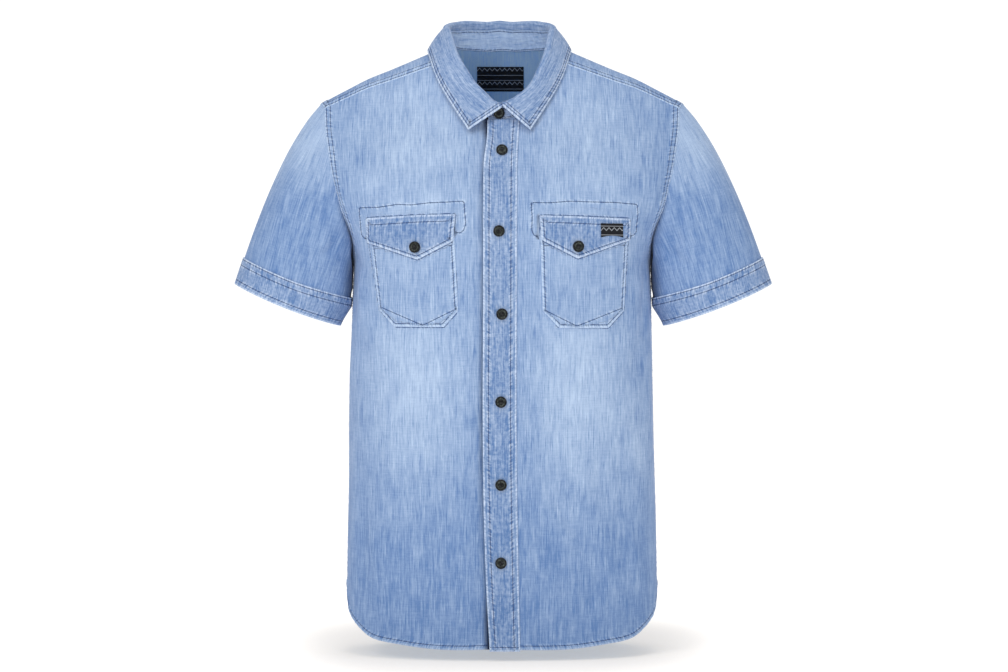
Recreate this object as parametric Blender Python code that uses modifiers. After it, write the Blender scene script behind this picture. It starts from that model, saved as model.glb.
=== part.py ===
"""Short-sleeved denim shirt, buttoned up and filled out, with nobody in it.

Frame: +X is the wearer's left, the front faces -Y and +Z is up. The origin is at the base of the
neck, level with the back neck seam and midway between the shoulders. Lengths in the tables are in
millimetres and angles in degrees.

The torso is one smooth skin. A point of it is given by its turn about the upright axis (0 at the
centre front, 90 at the wearer's left side, 180 at the centre back) and its height. Panels are
patches of that skin, a seam gap apart, and what lies on a panel is made from the same points.
"""

import math
from typing import NamedTuple

import bmesh
import bpy
import numpy as np
from mathutils import Matrix, Vector

MM = 0.001
SHARP_ANGLE = math.radians(50)
WELD_DISTANCE = 1e-6

# Cloth and seams
CLOTH = 1.5
SEAM_GAP = 0.3
LAID_ON = 0.7
COLLAR_CLOTH = 2.0
BAND_CLOTH = 1.8
PLACKET_CLOTH = 1.8
POCKET_CLOTH = 1.5
FLAP_CLOTH = 2.0
LABEL_CLOTH = 0.8

# Torso
SQUARENESS = 2.4
SHOULDER_ROLL_FRONT = 150.0
SHOULDER_ROLL_BACK = 120.0
MEAN_RADIUS = 165.0
YOKE_BACK_Z = -90.0
UNDERARM_Z = -258.0
OVERLAP = 3.6
OVERLAP_START_X = -42.0
OVERLAP_EASE = 18.0

# Patches: how many cells each stretch of a seam has
BODY_ROWS = 12
CHEST_ROWS = 6
NECK_ROWS = 8
ARM_ROWS_FRONT = 14
ARM_ROWS_BACK = 9
ARM_CELLS_YOKE = 5
FRONT_COLUMNS = 10
BACK_COLUMNS = 18
SLEEVE_ROWS = 11

# Collar
ROLL_RADIUS = 4.8
ROLL_STEPS = 5
LEAF_STEPS = 4
STAND_STEPS = 3

# Cuff bands
BAND_TOP = 0.86
BAND_OVERLAP = 0.03
BAND_ROWS = 3
SLEEVE_BOW = 3.0
SLEEVE_BLEND = 0.5

# Buttons
BUTTON_RADIUS = 7.0
BUTTON_STEPS = 14
COLLAR_BUTTON_X = -5.0
COLLAR_BUTTON_RISE = 6.6


class Level(NamedTuple):
    """The torso at one height: half its width, and how far its front and back stand out."""
    z: float
    half_width: float
    front: float
    back: float


TORSO = (
    Level(z=-760, half_width=193.5, front=121, back=128),
    Level(z=-688, half_width=193.5, front=122, back=130),
    Level(z=-588, half_width=192, front=123, back=129),
    Level(z=-488, half_width=189, front=122, back=126),
    Level(z=-388, half_width=187, front=121, back=124),
    Level(z=-310, half_width=185.7, front=121, back=127),
    Level(z=-258, half_width=186, front=122, back=131),
    Level(z=-240, half_width=190, front=122, back=132),
    Level(z=-183, half_width=225, front=117, back=134),
    Level(z=-129, half_width=238, front=93, back=130),
    Level(z=-90, half_width=240, front=72, back=120),
    Level(z=-60, half_width=240, front=62, back=109),
    Level(z=0, half_width=240, front=60, back=95),
    Level(z=40, half_width=240, front=60, back=90),
)


class RidgePoint(NamedTuple):
    """The top of the shoulder at one distance from the middle."""
    x: float
    z: float


RIDGE = (
    RidgePoint(x=0, z=27),
    RidgePoint(x=40, z=17),
    RidgePoint(x=66, z=5),
    RidgePoint(x=96, z=-8),
    RidgePoint(x=137.5, z=-25.6),
    RidgePoint(x=168, z=-38),
    RidgePoint(x=192.5, z=-50.6),
    RidgePoint(x=216, z=-63),
    RidgePoint(x=240, z=-77),
)


class HemPoint(NamedTuple):
    """The shirt-tail hem at one turn from the centre front or centre back."""
    turn: float
    z: float


HEM = (
    HemPoint(turn=0, z=-738),
    HemPoint(turn=20, z=-738),
    HemPoint(turn=36, z=-733.5),
    HemPoint(turn=56, z=-725),
    HemPoint(turn=63, z=-717),
    HemPoint(turn=70, z=-709),
    HemPoint(turn=77, z=-700),
    HemPoint(turn=90, z=-670),
)


class ArmholePoint(NamedTuple):
    """One height of the armhole, as the turn of its front or back edge."""
    turn: float
    z: float


ARMHOLE_FRONT = (
    ArmholePoint(turn=90, z=-258),
    ArmholePoint(turn=81, z=-247),
    ArmholePoint(turn=72.6, z=-227),
    ArmholePoint(turn=66.3, z=-207),
    ArmholePoint(turn=62.8, z=-183),
    ArmholePoint(turn=61.7, z=-156),
    ArmholePoint(turn=61.9, z=-129),
    ArmholePoint(turn=63.6, z=-102),
)
ARMHOLE_BACK = (
    ArmholePoint(turn=90, z=-258),
    ArmholePoint(turn=82.5, z=-247),
    ArmholePoint(turn=75, z=-227),
    ArmholePoint(turn=70, z=-207),
    ArmholePoint(turn=67.5, z=-183),
    ArmholePoint(turn=66.8, z=-156),
    ArmholePoint(turn=67.4, z=-129),
)


class NeckPoint(NamedTuple):
    """The front neckline, from the centre front towards the shoulder seam."""
    x: float
    z: float


NECK_FRONT = (
    NeckPoint(x=0, z=-88),
    NeckPoint(x=12, z=-86.5),
    NeckPoint(x=25, z=-80),
    NeckPoint(x=45, z=-60),
    NeckPoint(x=57, z=-33),
)


class ShoulderPoint(NamedTuple):
    """A place on the yoke: distance out from the middle, and angle over the shoulder."""
    x: float
    over: float


NECK_YOKE = (
    ShoulderPoint(x=61.5, over=-30.5),
    ShoulderPoint(x=65, over=-14),
    ShoulderPoint(x=66, over=0),
    ShoulderPoint(x=63.5, over=11.5),
    ShoulderPoint(x=55, over=23),
    ShoulderPoint(x=40, over=31),
    ShoulderPoint(x=20, over=36.7),
    ShoulderPoint(x=0, over=39),
)
ARMHOLE_TOP = (
    ShoulderPoint(x=220.5, over=-20.5),
    ShoulderPoint(x=226, over=0),
    ShoulderPoint(x=225.5, over=35.2),
)


class SleeveSection(NamedTuple):
    """A ring of the sleeve: its outer and inner points seen from the front, and half its depth."""
    place: float
    outer_x: float
    outer_z: float
    inner_x: float
    inner_z: float
    depth: float


SLEEVE = (
    SleeveSection(place=0, outer_x=226, outer_z=-68, inner_x=187, inner_z=-257.5, depth=60),
    SleeveSection(place=0.15, outer_x=243, outer_z=-89, inner_x=188, inner_z=-263, depth=62),
    SleeveSection(place=0.3, outer_x=262.5, outer_z=-120, inner_x=189, inner_z=-270, depth=62),
    SleeveSection(place=0.5, outer_x=286, outer_z=-168, inner_x=190, inner_z=-282, depth=61),
    SleeveSection(place=0.7, outer_x=306.5, outer_z=-218, inner_x=190.8, inner_z=-297, depth=58),
    SleeveSection(place=0.86, outer_x=321.5, outer_z=-260, inner_x=192.5, inner_z=-311, depth=56),
    SleeveSection(place=1, outer_x=332.5, outer_z=-293, inner_x=203, inner_z=-344.5, depth=54),
)
SLEEVE_SPREAD = {"left": 3.0, "right": 0.0}


class Fold(NamedTuple):
    """A soft ridge (depth over 0) or trough down the torso; lean is its turn for each metre down."""
    turn: float
    lean: float
    top: float
    bottom: float
    width: float
    depth: float


FOLDS = (
    Fold(turn=-73, lean=-60, top=-235, bottom=-400, width=13, depth=-3),
    Fold(turn=-80, lean=-40, top=-270, bottom=-560, width=22, depth=3),
    Fold(turn=73, lean=-50, top=-235, bottom=-380, width=13, depth=-3),
    Fold(turn=77, lean=-20, top=-260, bottom=-600, width=21, depth=2.5),
    Fold(turn=14, lean=150, top=-520, bottom=-690, width=18, depth=-3),
    Fold(turn=44, lean=30, top=-430, bottom=-730, width=26, depth=-3.5),
    Fold(turn=-38, lean=-20, top=-470, bottom=-740, width=30, depth=3),
    Fold(turn=-62, lean=15, top=-500, bottom=-700, width=22, depth=-3),
    Fold(turn=108, lean=20, top=-270, bottom=-600, width=24, depth=-4),
    Fold(turn=136, lean=-25, top=-180, bottom=-520, width=30, depth=4),
    Fold(turn=158, lean=10, top=-330, bottom=-730, width=28, depth=-4.5),
    Fold(turn=187, lean=-15, top=-220, bottom=-640, width=26, depth=3.5),
    Fold(turn=214, lean=20, top=-300, bottom=-700, width=32, depth=-4),
    Fold(turn=241, lean=-30, top=-210, bottom=-560, width=24, depth=4),
)


class PlacketEdge(NamedTuple):
    """The placket's two long edges at one height."""
    z: float
    right: float
    left: float


PLACKET = (
    PlacketEdge(z=-750, right=-14.5, left=22.5),
    PlacketEdge(z=-652, right=-19.6, left=20.3),
    PlacketEdge(z=-432, right=-23.6, left=17.6),
    PlacketEdge(z=-340, right=-23.1, left=17.9),
    PlacketEdge(z=-250, right=-22.9, left=18.1),
    PlacketEdge(z=-180, right=-22.8, left=18.3),
    PlacketEdge(z=-139, right=-22, left=18.8),
    PlacketEdge(z=-112, right=-18.5, left=20.2),
    PlacketEdge(z=-82, right=-18, left=22.4),
)
PLACKET_TOP_Z = -90.0
PLACKET_BOTTOM_Z = -737.5
PLACKET_COLUMNS = 4
EDGE_TUCK = 1.2


class CollarStation(NamedTuple):
    """The collar at one place round the neck (0 centre front, 1 centre back).

    stand is the stand's height, shift how far its top leans to the wearer's left, and rise how far
    the leaf climbs past it before it rolls over. The leaf's lower edge is a yoke point (edge_x, and
    edge_over degrees over the shoulder), clear of the torso.
    """
    place: float
    stand: float
    shift: float
    rise: float
    edge_x: float
    edge_over: float
    clear: float


COLLAR = (
    CollarStation(place=0.0, stand=15, shift=2.5, rise=0.8, edge_x=38.5, edge_over=-79.5, clear=7),
    CollarStation(place=0.11, stand=15.5, shift=2.5, rise=1, edge_x=56, edge_over=-65, clear=5.5),
    CollarStation(place=0.24, stand=16, shift=1.5, rise=1.5, edge_x=72.5, edge_over=-48.5, clear=4),
    CollarStation(place=0.4, stand=17, shift=-1, rise=1, edge_x=83.5, edge_over=-29, clear=4),
    CollarStation(place=0.6, stand=17.5, shift=-3, rise=1.5, edge_x=87.5, edge_over=4, clear=4),
    CollarStation(place=0.8, stand=25, shift=-3, rise=5.5, edge_x=64, edge_over=37, clear=9),
    CollarStation(place=1.0, stand=27, shift=-3, rise=5.5, edge_x=0, edge_over=46, clear=11),
)
STAND_LEAN = 0.12
NECK_REACH = 60.0
LEAF_START = 0.006
LEAF_INSET = 0.03
TUCK_START = 0.88
TUCK_LENGTH = 0.06
STAND_END = 0.04
STAND_END_DROP = 0.25
LEFTWARDS = np.array([1.0, 0.0, 0.0])
EDGE_SHIFT = -3.2


class Pocket(NamedTuple):
    """A chest pocket and its flap: (x, z) corners, seen from the front."""
    side: str
    body_top: tuple
    body_bottom: tuple
    flap_top: tuple
    flap_bottom: tuple


POCKETS = (
    Pocket(side="right",
           body_top=((-161, -227), (-143, -226), (-77, -225), (-58.7, -224)),
           body_bottom=((-150.4, -322.4), (-131.8, -343), (-70.9, -343), (-53.3, -323)),
           flap_top=((-165.7, -210.2), (-103, -206.5), (-56.7, -205.2)),
           flap_bottom=((-164, -239.9), (-102.6, -260.7), (-59.7, -238))),
    Pocket(side="left",
           body_top=((46.6, -224), (67, -225), (134, -226), (153.6, -227)),
           body_bottom=((49.5, -322.8), (69.9, -344), (130, -344.6), (149.1, -324)),
           flap_top=((45.9, -206.7), (92, -208), (157, -210.9)),
           flap_bottom=((48.2, -236.5), (92.1, -259.3), (154.9, -236.9))),
)
POCKET_CELLS = (2, 4, 2)
FLAP_CELLS = (6, 6)
POCKET_ROWS = 7
FLAP_ROWS = 3


class Seat(NamedTuple):
    """Where a button sits, seen from the front, and how far it stands off the torso's skin."""
    name: str
    x: float
    z: float
    lift: float


ON_PLACKET = LAID_ON + PLACKET_CLOTH
ON_FLAP = LAID_ON + POCKET_CLOTH + LAID_ON + FLAP_CLOTH
BUTTONS = (
    Seat(name="button_2", x=0, z=-128, lift=ON_PLACKET),
    Seat(name="button_3", x=-3.6, z=-225.7, lift=ON_PLACKET),
    Seat(name="button_4", x=0, z=-327, lift=ON_PLACKET),
    Seat(name="button_5", x=-1.2, z=-434.4, lift=ON_PLACKET),
    Seat(name="button_6", x=-1.2, z=-535.7, lift=ON_PLACKET),
    Seat(name="button_7", x=-1.2, z=-631.2, lift=ON_PLACKET),
    Seat(name="flap_button_right", x=-105, z=-245.2, lift=ON_FLAP),
    Seat(name="flap_button_left", x=92.1, z=-244.4, lift=ON_FLAP),
)


class ProfilePoint(NamedTuple):
    """A point of the button's turned profile, from the hollow centre out over the rim."""
    radius: float
    height: float


BUTTON_PROFILE = (
    ProfilePoint(radius=0, height=1.3),
    ProfilePoint(radius=2.2, height=1.3),
    ProfilePoint(radius=3.0, height=2.2),
    ProfilePoint(radius=4.4, height=2.2),
    ProfilePoint(radius=5.2, height=3.0),
    ProfilePoint(radius=6.4, height=2.8),
    ProfilePoint(radius=BUTTON_RADIUS, height=1.8),
    ProfilePoint(radius=6.6, height=0),
    ProfilePoint(radius=0, height=0),
)

NECK_LABEL = {"left": 27.6, "right": -31.8, "top": -19.0, "bottom": -49.5}
TAB = {"left": 146.5, "right": 119.7, "top": -216.1, "bottom": -233.2, "dip": 2.2}


class Finish(NamedTuple):
    """The looks of one material."""
    name: str
    colour: tuple
    roughness: float
    metallic: float


DENIM = Finish("denim", (0.40, 0.52, 0.74, 1), 0.9, 0)
DENIM_BAND = Finish("denim_band", (0.28, 0.38, 0.60, 1), 0.9, 0)
LABEL = Finish("label", (0.02, 0.02, 0.025, 1), 0.8, 0)
METAL = Finish("button_metal", (0.05, 0.06, 0.07, 1), 0.4, 0.9)


# ---------------------------------------------------------------- curves

def column(table, field):
    """One named column of a table, as an array."""
    return np.array([getattr(row, field) for row in table], dtype=float)


def curve_through(knots, values, at):
    """Read a smooth curve through the knots at the places asked for."""
    knots, values = np.asarray(knots, float), np.asarray(values, float)
    slopes = np.gradient(values, knots)
    at = np.clip(at, knots[0], knots[-1])
    span = np.clip(np.searchsorted(knots, at, side="right") - 1, 0, len(knots) - 2)
    width = knots[span + 1] - knots[span]
    t = (at - knots[span]) / width
    start, end = values[span], values[span + 1]
    return (start * (1 + 2 * t) * (1 - t) ** 2 + end * t * t * (3 - 2 * t)
            + width * t * (1 - t) * (slopes[span] * (1 - t) - slopes[span + 1] * t))


def smoothstep(t):
    """Ease from 0 to 1."""
    t = np.clip(t, 0, 1)
    return t * t * (3 - 2 * t)


def signed_power(value, power):
    """Raise the size of a value to a power and keep its sign."""
    return np.sign(value) * np.abs(value) ** power


def unit(vectors):
    """Scale vectors to length 1."""
    return vectors / np.maximum(np.linalg.norm(vectors, axis=-1, keepdims=True), 1e-12)


# ---------------------------------------------------------------- the torso's skin

def ridge_height(x):
    """Height of the top of the shoulder."""
    return curve_through(column(RIDGE, "x"), column(RIDGE, "z"), np.abs(x))


def level(field, z):
    """A measure of the torso at a height."""
    return curve_through(column(TORSO, "z"), column(TORSO, field), z)


def fold_height(turn, z):
    """How far the folds lift the cloth off the plain form."""
    lift = np.zeros(np.broadcast(turn, z).shape)
    for fold in FOLDS:
        down = (fold.top - z) / (fold.top - fold.bottom)
        middle = fold.turn + fold.lean * (fold.top - z) * MM
        away = (np.degrees(turn) - middle + 180) % 360 - 180
        across = np.radians(away) * MEAN_RADIUS / fold.width
        lift += fold.depth * np.exp(-across ** 2) * np.sin(np.pi * np.clip(down, 0, 1)) ** 1.5
    return lift


def skin(turn, z):
    """Points of the torso at turns (radians) and heights."""
    turn, z = np.broadcast_arrays(np.asarray(turn, float), np.asarray(z, float))
    half_width = level("half_width", z)
    x = half_width * signed_power(np.sin(turn), 2 / SQUARENESS)
    is_front = np.cos(turn) >= 0
    depth = np.where(is_front, level("front", z), level("back", z))
    roll = np.where(is_front, SHOULDER_ROLL_FRONT, SHOULDER_ROLL_BACK)
    drop = np.clip((ridge_height(x) - z) / roll, 0, 1)
    y = -depth * signed_power(np.cos(turn), 2 / SQUARENESS) * np.sqrt(1 - (1 - drop) ** 2)
    outward = np.stack([signed_power(x / half_width, SQUARENESS - 1) / half_width,
                        signed_power(y / depth, SQUARENESS - 1) / depth, np.zeros_like(x)], axis=-1)
    return np.stack([x, y, z], axis=-1) + unit(outward) * fold_height(turn, z)[..., None]


def turn_at(x, z):
    """The turn of the front skin's point that has this x and height."""
    reach = np.clip(np.abs(x) / level("half_width", z), 0, 1) ** (SQUARENESS / 2)
    return np.sign(x) * np.arcsin(reach)


def over_shoulder(x, over):
    """Turn and height of a yoke point at an angle (degrees) over the shoulder, front below 0."""
    roll = np.where(over < 0, SHOULDER_ROLL_FRONT, SHOULDER_ROLL_BACK)
    z = ridge_height(x) - roll * (1 - np.cos(np.radians(over)))
    turn = turn_at(x, z)
    return np.where(over < 0, turn, np.pi - turn), z


def hem_height(turn):
    """Height of the hem at a turn; the front and back tails are alike."""
    from_middle = 90 - np.abs(90 - np.abs(np.degrees(turn)) % 180)
    return curve_through(column(HEM, "turn"), column(HEM, "z"), from_middle)


def as_skin(pairs):
    """Torso points for (turn, height) pairs."""
    return skin(pairs[..., 0], pairs[..., 1])


def as_yoke(pairs):
    """Torso points for (x, angle over the shoulder) pairs."""
    return skin(*over_shoulder(pairs[..., 0], pairs[..., 1]))


NORMAL_STEPS = {as_skin: np.array([[0.002, 0], [0, 0.3]]), as_yoke: np.array([[0.3, 0], [0, 0.3]])}


def spaced(controls, cells, to_points):
    """Resample a smooth path through control pairs into cells of equal length on the cloth."""
    controls = np.asarray(controls, float)
    knots = np.arange(len(controls))
    fine = np.linspace(0, len(controls) - 1, 40 * len(controls))
    path = np.stack([curve_through(knots, controls[:, axis], fine) for axis in (0, 1)], axis=-1)
    steps = np.linalg.norm(np.diff(to_points(path), axis=0), axis=1)
    run = np.concatenate([[0], np.cumsum(steps)])
    at = np.linspace(0, run[-1], cells + 1)
    return np.stack([np.interp(at, run, path[:, axis]) for axis in (0, 1)], axis=-1)


def straight(start, end, cells):
    """Evenly spaced pairs from one to another."""
    return np.linspace(np.asarray(start, float), np.asarray(end, float), cells + 1)


def coons(left, right, bottom, top):
    """Fill the patch between four edges; left and right run upwards, bottom and top across."""
    up = np.linspace(0, 1, len(left))[:, None, None]
    across = np.linspace(0, 1, len(bottom))[None, :, None]
    corners = ((1 - up) * (1 - across) * bottom[0] + (1 - up) * across * bottom[-1]
               + up * (1 - across) * top[0] + up * across * top[-1])
    return ((1 - up) * bottom[None] + up * top[None]
            + (1 - across) * left[:, None] + across * right[:, None] - corners)


# ---------------------------------------------------------------- grids to walls

def slopes(points, axis, closed):
    """Differences between neighbouring points of a grid along an axis."""
    if closed:
        return np.roll(points, -1, axis) - np.roll(points, 1, axis)
    return np.gradient(points, axis=axis)


def normals(points, inside, closed=False):
    """Unit normals of a grid, pointing away from what is inside it."""
    facing = unit(np.cross(slopes(points, 1, closed), slopes(points, 0, False)))
    if np.mean(np.sum(facing * (points - inside), axis=-1)) < 0:
        facing = -facing
    return facing


def torso_normals(pairs, to_points):
    """The torso's normals, pointing out of the shirt, at a grid of pairs."""
    steps = [(to_points(pairs + step) - to_points(pairs - step)) for step in NORMAL_STEPS[to_points]]
    facing = unit(np.cross(steps[0], steps[1]))
    points = to_points(pairs)
    outward = points * [1, 1, 0] + [0, 0, 1] * (points[..., 2:] > UNDERARM_Z) * SHOULDER_ROLL_FRONT / 2
    return facing * np.sign(np.sum(facing * outward, axis=-1, keepdims=True))


def drawn_in(points, gap, sides):
    """Move the named edges of a grid inwards, square to the edge, by a gap."""
    points = points.copy()
    moves = {"bottom": (np.s_[0, :], np.s_[1, :]), "top": (np.s_[-1, :], np.s_[-2, :]),
             "left": (np.s_[:, 0], np.s_[:, 1]), "right": (np.s_[:, -1], np.s_[:, -2])}
    shifts = []
    for side in sides:
        edge, neighbour = moves[side]
        along = unit(np.gradient(points[edge], axis=0))
        inward = points[neighbour] - points[edge]
        inward = unit(inward - np.sum(inward * along, axis=-1, keepdims=True) * along)
        shifts.append((edge, inward * gap))
    for edge, shift in shifts:
        points[edge] += shift
    return points


def cloth(name, outer, inner, finish, closed=False):
    """Make a wall between an outer and an inner grid of points.

    Args:
        name: The object's name.
        outer: Grid of the wall's outer points, rows by columns.
        inner: Grid of its inner points, of the same shape.
        finish: The wall's material.
        closed: Whether the last column meets the first, as on a tube.

    Returns:
        The new object.
    """
    if closed:
        outer = np.concatenate([outer, outer[:, :1]], axis=1)
        inner = np.concatenate([inner, inner[:, :1]], axis=1)
    rows, columns = outer.shape[:2]
    places = outer.reshape(-1, 3), inner.reshape(-1, 3)
    wall = bmesh.new()
    bmesh.ops.create_grid(wall, x_segments=columns - 1, y_segments=rows - 1, size=1)
    number = wall.verts.layers.int.new("number")
    for vertex in wall.verts:
        vertex[number] = vertex.index
    pushed = bmesh.ops.extrude_face_region(wall, geom=wall.faces[:])["geom"]
    pushed = {item for item in pushed if isinstance(item, bmesh.types.BMVert)}
    for vertex in wall.verts:
        vertex.co = Vector(places[vertex in pushed][vertex[number]] * MM)
    if closed:
        ends = [face for face in wall.faces
                if len({vertex[number] % columns for vertex in face.verts}) == 1]
        bmesh.ops.delete(wall, geom=ends, context="FACES_ONLY")
        bmesh.ops.remove_doubles(wall, verts=wall.verts[:], dist=WELD_DISTANCE)
    bmesh.ops.recalc_face_normals(wall, faces=wall.faces[:])
    return add_object(name, wall, finish)


def add_object(name, shape, finish):
    """Turn an edited shape into an object with its own material in the shirt's collection."""
    mesh = bpy.data.meshes.new(name)
    shape.to_mesh(mesh)
    shape.free()
    mesh.shade_smooth()
    mesh.set_sharp_from_angle(angle=SHARP_ANGLE)
    item = bpy.data.objects.new(name, mesh)
    bpy.data.collections["denim_shirt"].objects.link(item)
    mesh.materials.append(make_material(name, finish))
    return item


def make_material(name, finish):
    """A Principled material for one sub-part."""
    material = bpy.data.materials.new(f"{finish.name}.{name}")
    material.use_nodes = True
    shader = material.node_tree.nodes["Principled BSDF"]
    shader.inputs["Base Color"].default_value = finish.colour
    shader.inputs["Roughness"].default_value = finish.roughness
    shader.inputs["Metallic"].default_value = finish.metallic
    return material


# ---------------------------------------------------------------- torso panels

def shoulder_seam():
    """The forward shoulder seam of the wearer's left, from the neck to the armhole."""
    start, end = NECK_YOKE[0], ARMHOLE_TOP[0]
    return straight(start, end, FRONT_COLUMNS)


def armhole_front():
    """Front armhole edge, from the underarm up to the shoulder seam."""
    end = ARMHOLE_TOP[0]
    turn, z = over_shoulder(np.array(end.x), np.array(end.over))
    controls = [(math.radians(row.turn), row.z) for row in ARMHOLE_FRONT] + [(float(turn), float(z))]
    return spaced(controls, ARM_ROWS_FRONT, as_skin)


def armhole_back():
    """Back armhole edge, from the underarm up to the yoke."""
    end = ARMHOLE_TOP[-1]
    turn, z = over_shoulder(np.array(end.x), np.array(end.over))
    controls = [(math.pi - math.radians(row.turn), row.z) for row in ARMHOLE_BACK]
    return spaced(controls + [(float(turn), float(z))], ARM_ROWS_BACK, as_skin)


def armhole_yoke():
    """The yoke's armhole edge, from the front seam over the shoulder to the back seam."""
    return spaced(ARMHOLE_TOP, ARM_CELLS_YOKE, as_yoke)


def neck_front(start_x):
    """Front neckline from a start near the centre front up to the shoulder seam."""
    rows = [row for row in NECK_FRONT if row.x > abs(start_x) + 2] if start_x > 0 else NECK_FRONT
    start_z = float(curve_through(column(NECK_FRONT, "x"), column(NECK_FRONT, "z"), abs(start_x)))
    turns = [(float(turn_at(row.x, row.z)), row.z) for row in rows]
    end = NECK_YOKE[0]
    turn, z = over_shoulder(np.array(end.x), np.array(end.over))
    start = (float(turn_at(start_x, start_z)), start_z)
    return spaced([start] + turns + [(float(turn), float(z))], NECK_ROWS, as_skin)


class Panel(NamedTuple):
    """A torso panel before its seams are drawn in: its grid of points and the normals there."""
    points: np.ndarray
    facing: np.ndarray


def panel(pairs, to_points):
    """The panel over a grid of pairs."""
    return Panel(to_points(pairs), torso_normals(pairs, to_points))


def edge_heights():
    """Heights of the front's rows at the centre front, from the hem to the neck."""
    neck_z = neck_front(placket_edge("right")(PLACKET_TOP_Z))[0, 1]
    return np.concatenate([np.linspace(hem_height(0), UNDERARM_Z, BODY_ROWS + 1),
                           np.linspace(UNDERARM_Z, neck_z, CHEST_ROWS + 1)[1:]])


def front_panel(start_x_of, flip):
    """A front panel whose front edge is start_x_of(z) from the middle; flip is -1 on the right."""
    neck = neck_front(start_x_of(PLACKET_TOP_Z))
    edge_z = edge_heights()
    edge = np.stack([turn_at(start_x_of(edge_z), edge_z), edge_z], axis=-1)
    edge[-1] = neck[0]
    side = straight((math.pi / 2, hem_height(math.pi / 2)), (math.pi / 2, UNDERARM_Z), BODY_ROWS)
    hem_turn = np.linspace(edge[0, 0], math.pi / 2, FRONT_COLUMNS + 1)
    hem = np.stack([hem_turn, hem_height(hem_turn)], axis=-1)
    top = np.stack(over_shoulder(*shoulder_seam().T), axis=-1)
    left = np.concatenate([edge, neck[1:]])
    right = np.concatenate([side, armhole_front()[1:]])
    return panel(coons(left, right, hem, top) * np.array([flip, 1]), as_skin)


def placket_edge(field):
    """One long edge of the placket, as a function of height."""
    return lambda z: curve_through(column(PLACKET, "z"), column(PLACKET, field), z)


def make_wall(name, shape, sides):
    """Make a torso panel: draw its seams in, and thicken it inwards."""
    points = drawn_in(shape.points, SEAM_GAP / 2, sides)
    cloth(name, points, points - CLOTH * shape.facing, DENIM)


def make_fronts():
    """The two fronts; the wearer's left one lies over the right one at the centre."""
    over_edge, under_edge = placket_edge("right"), placket_edge("left")
    over = front_panel(lambda z: over_edge(z) + EDGE_TUCK, 1)
    make_wall("front_left", over, ("right", "top"))
    under = front_panel(lambda z: 3 * EDGE_TUCK - under_edge(z), -1)
    tuck = smoothstep((under.points[..., :1] - OVERLAP_START_X) / OVERLAP_EASE) * OVERLAP
    under = Panel(under.points - under.facing * tuck, under.facing)
    make_wall("front_right", under, ("right", "top"))
    return over, under


def make_back():
    """The back panel, from the wearer's left side seam round to the right one."""
    side = straight((math.pi / 2, hem_height(math.pi / 2)), (math.pi / 2, UNDERARM_Z), BODY_ROWS)
    left = np.concatenate([side, armhole_back()[1:]])
    right = np.stack([2 * math.pi - left[:, 0], left[:, 1]], axis=-1)
    hem_turn = np.linspace(math.pi / 2, 1.5 * math.pi, BACK_COLUMNS + 1)
    hem = np.stack([hem_turn, hem_height(hem_turn)], axis=-1)
    top = straight(left[-1], right[-1], BACK_COLUMNS)
    top[:, 1] = YOKE_BACK_Z
    back = panel(coons(left, right, hem, top), as_skin)
    make_wall("back", back, ("left", "right", "top"))
    return back


def back_seam():
    """The back yoke seam, from the wearer's left armhole to the right one."""
    left = armhole_back()[-1]
    turn = np.linspace(left[0], 2 * math.pi - left[0], BACK_COLUMNS + 1)
    x = skin(turn, np.full_like(turn, YOKE_BACK_Z))[:, 0]
    over = np.degrees(np.arccos(1 - (ridge_height(x) - YOKE_BACK_Z) / SHOULDER_ROLL_BACK))
    return np.stack([x, over], axis=-1)


def make_yoke():
    """The yoke: a U round the neck, from one shoulder seam behind the neck to the other."""
    half = armhole_yoke()
    half[-1] = back_seam()[0]
    far = half[::-1] * np.array([-1, 1])
    outer = np.concatenate([half, back_seam()[1:-1], far])
    neck = spaced([(row.x, row.over) for row in NECK_YOKE], len(outer) // 2, as_yoke)
    neck = np.concatenate([neck, neck[-2::-1] * np.array([-1, 1])])[:len(outer)]
    seam = shoulder_seam()
    yoke = panel(coons(seam, seam * np.array([-1, 1]), neck, outer), as_yoke)
    make_wall("yoke", yoke, ("left", "right", "top"))
    return yoke


# ---------------------------------------------------------------- sleeves

def sleeve_ring(place, angle, spread):
    """Points of the plain sleeve at a place down it (0 armhole, 1 cuff) and angles round it."""
    read = {field: curve_through(column(SLEEVE, "place"), column(SLEEVE, field), place)
            for field in SleeveSection._fields[1:]}
    outer = np.array([read["outer_x"] + spread * place, 0, read["outer_z"]])
    inner = np.array([read["inner_x"], 0, read["inner_z"]])
    middle = (outer + inner) / 2
    reach = (outer - inner) / 2
    down = unit(np.array([reach[2], 0, -reach[0]]))
    bow = SLEEVE_BOW * smoothstep(place) * np.sin(angle) ** 2
    return (middle + np.cos(angle)[:, None] * reach
            + np.sin(angle)[:, None] * np.array([0, read["depth"], 0]) + bow[:, None] * down)


def sleeve_points(loop, places, spread):
    """The sleeve's grid: plain rings, pulled at the top onto the armhole's loop."""
    top = SLEEVE[0]
    middle = np.array([(top.outer_x + top.inner_x) / 2, 0, (top.outer_z + top.inner_z) / 2])
    reach = np.array([top.outer_x, 0, top.outer_z]) - middle
    along = (loop - middle) @ reach / (reach @ reach)
    angle = np.arctan2(loop[:, 1] / top.depth, along)
    pull = loop - sleeve_ring(0.0, angle, spread)
    return np.stack([sleeve_ring(place, angle, spread) + (1 - smoothstep(place / SLEEVE_BLEND)) * pull
                     for place in places])


def armhole_loop(front, yoke, back, flip):
    """An armhole's points and the cloth's normals there, once round from the underarm.

    Both come as on the wearer's left; flip is -1 for the right armhole.
    """
    return (np.concatenate([from_front[BODY_ROWS:, -1], from_yoke[-1, ::flip][1:ARM_CELLS_YOKE + 1],
                            from_back[BODY_ROWS + 1:-1, ::flip][::-1, 0]]) * np.array([flip, 1, 1])
            for from_front, from_yoke, from_back in zip(front, yoke, back))


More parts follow.
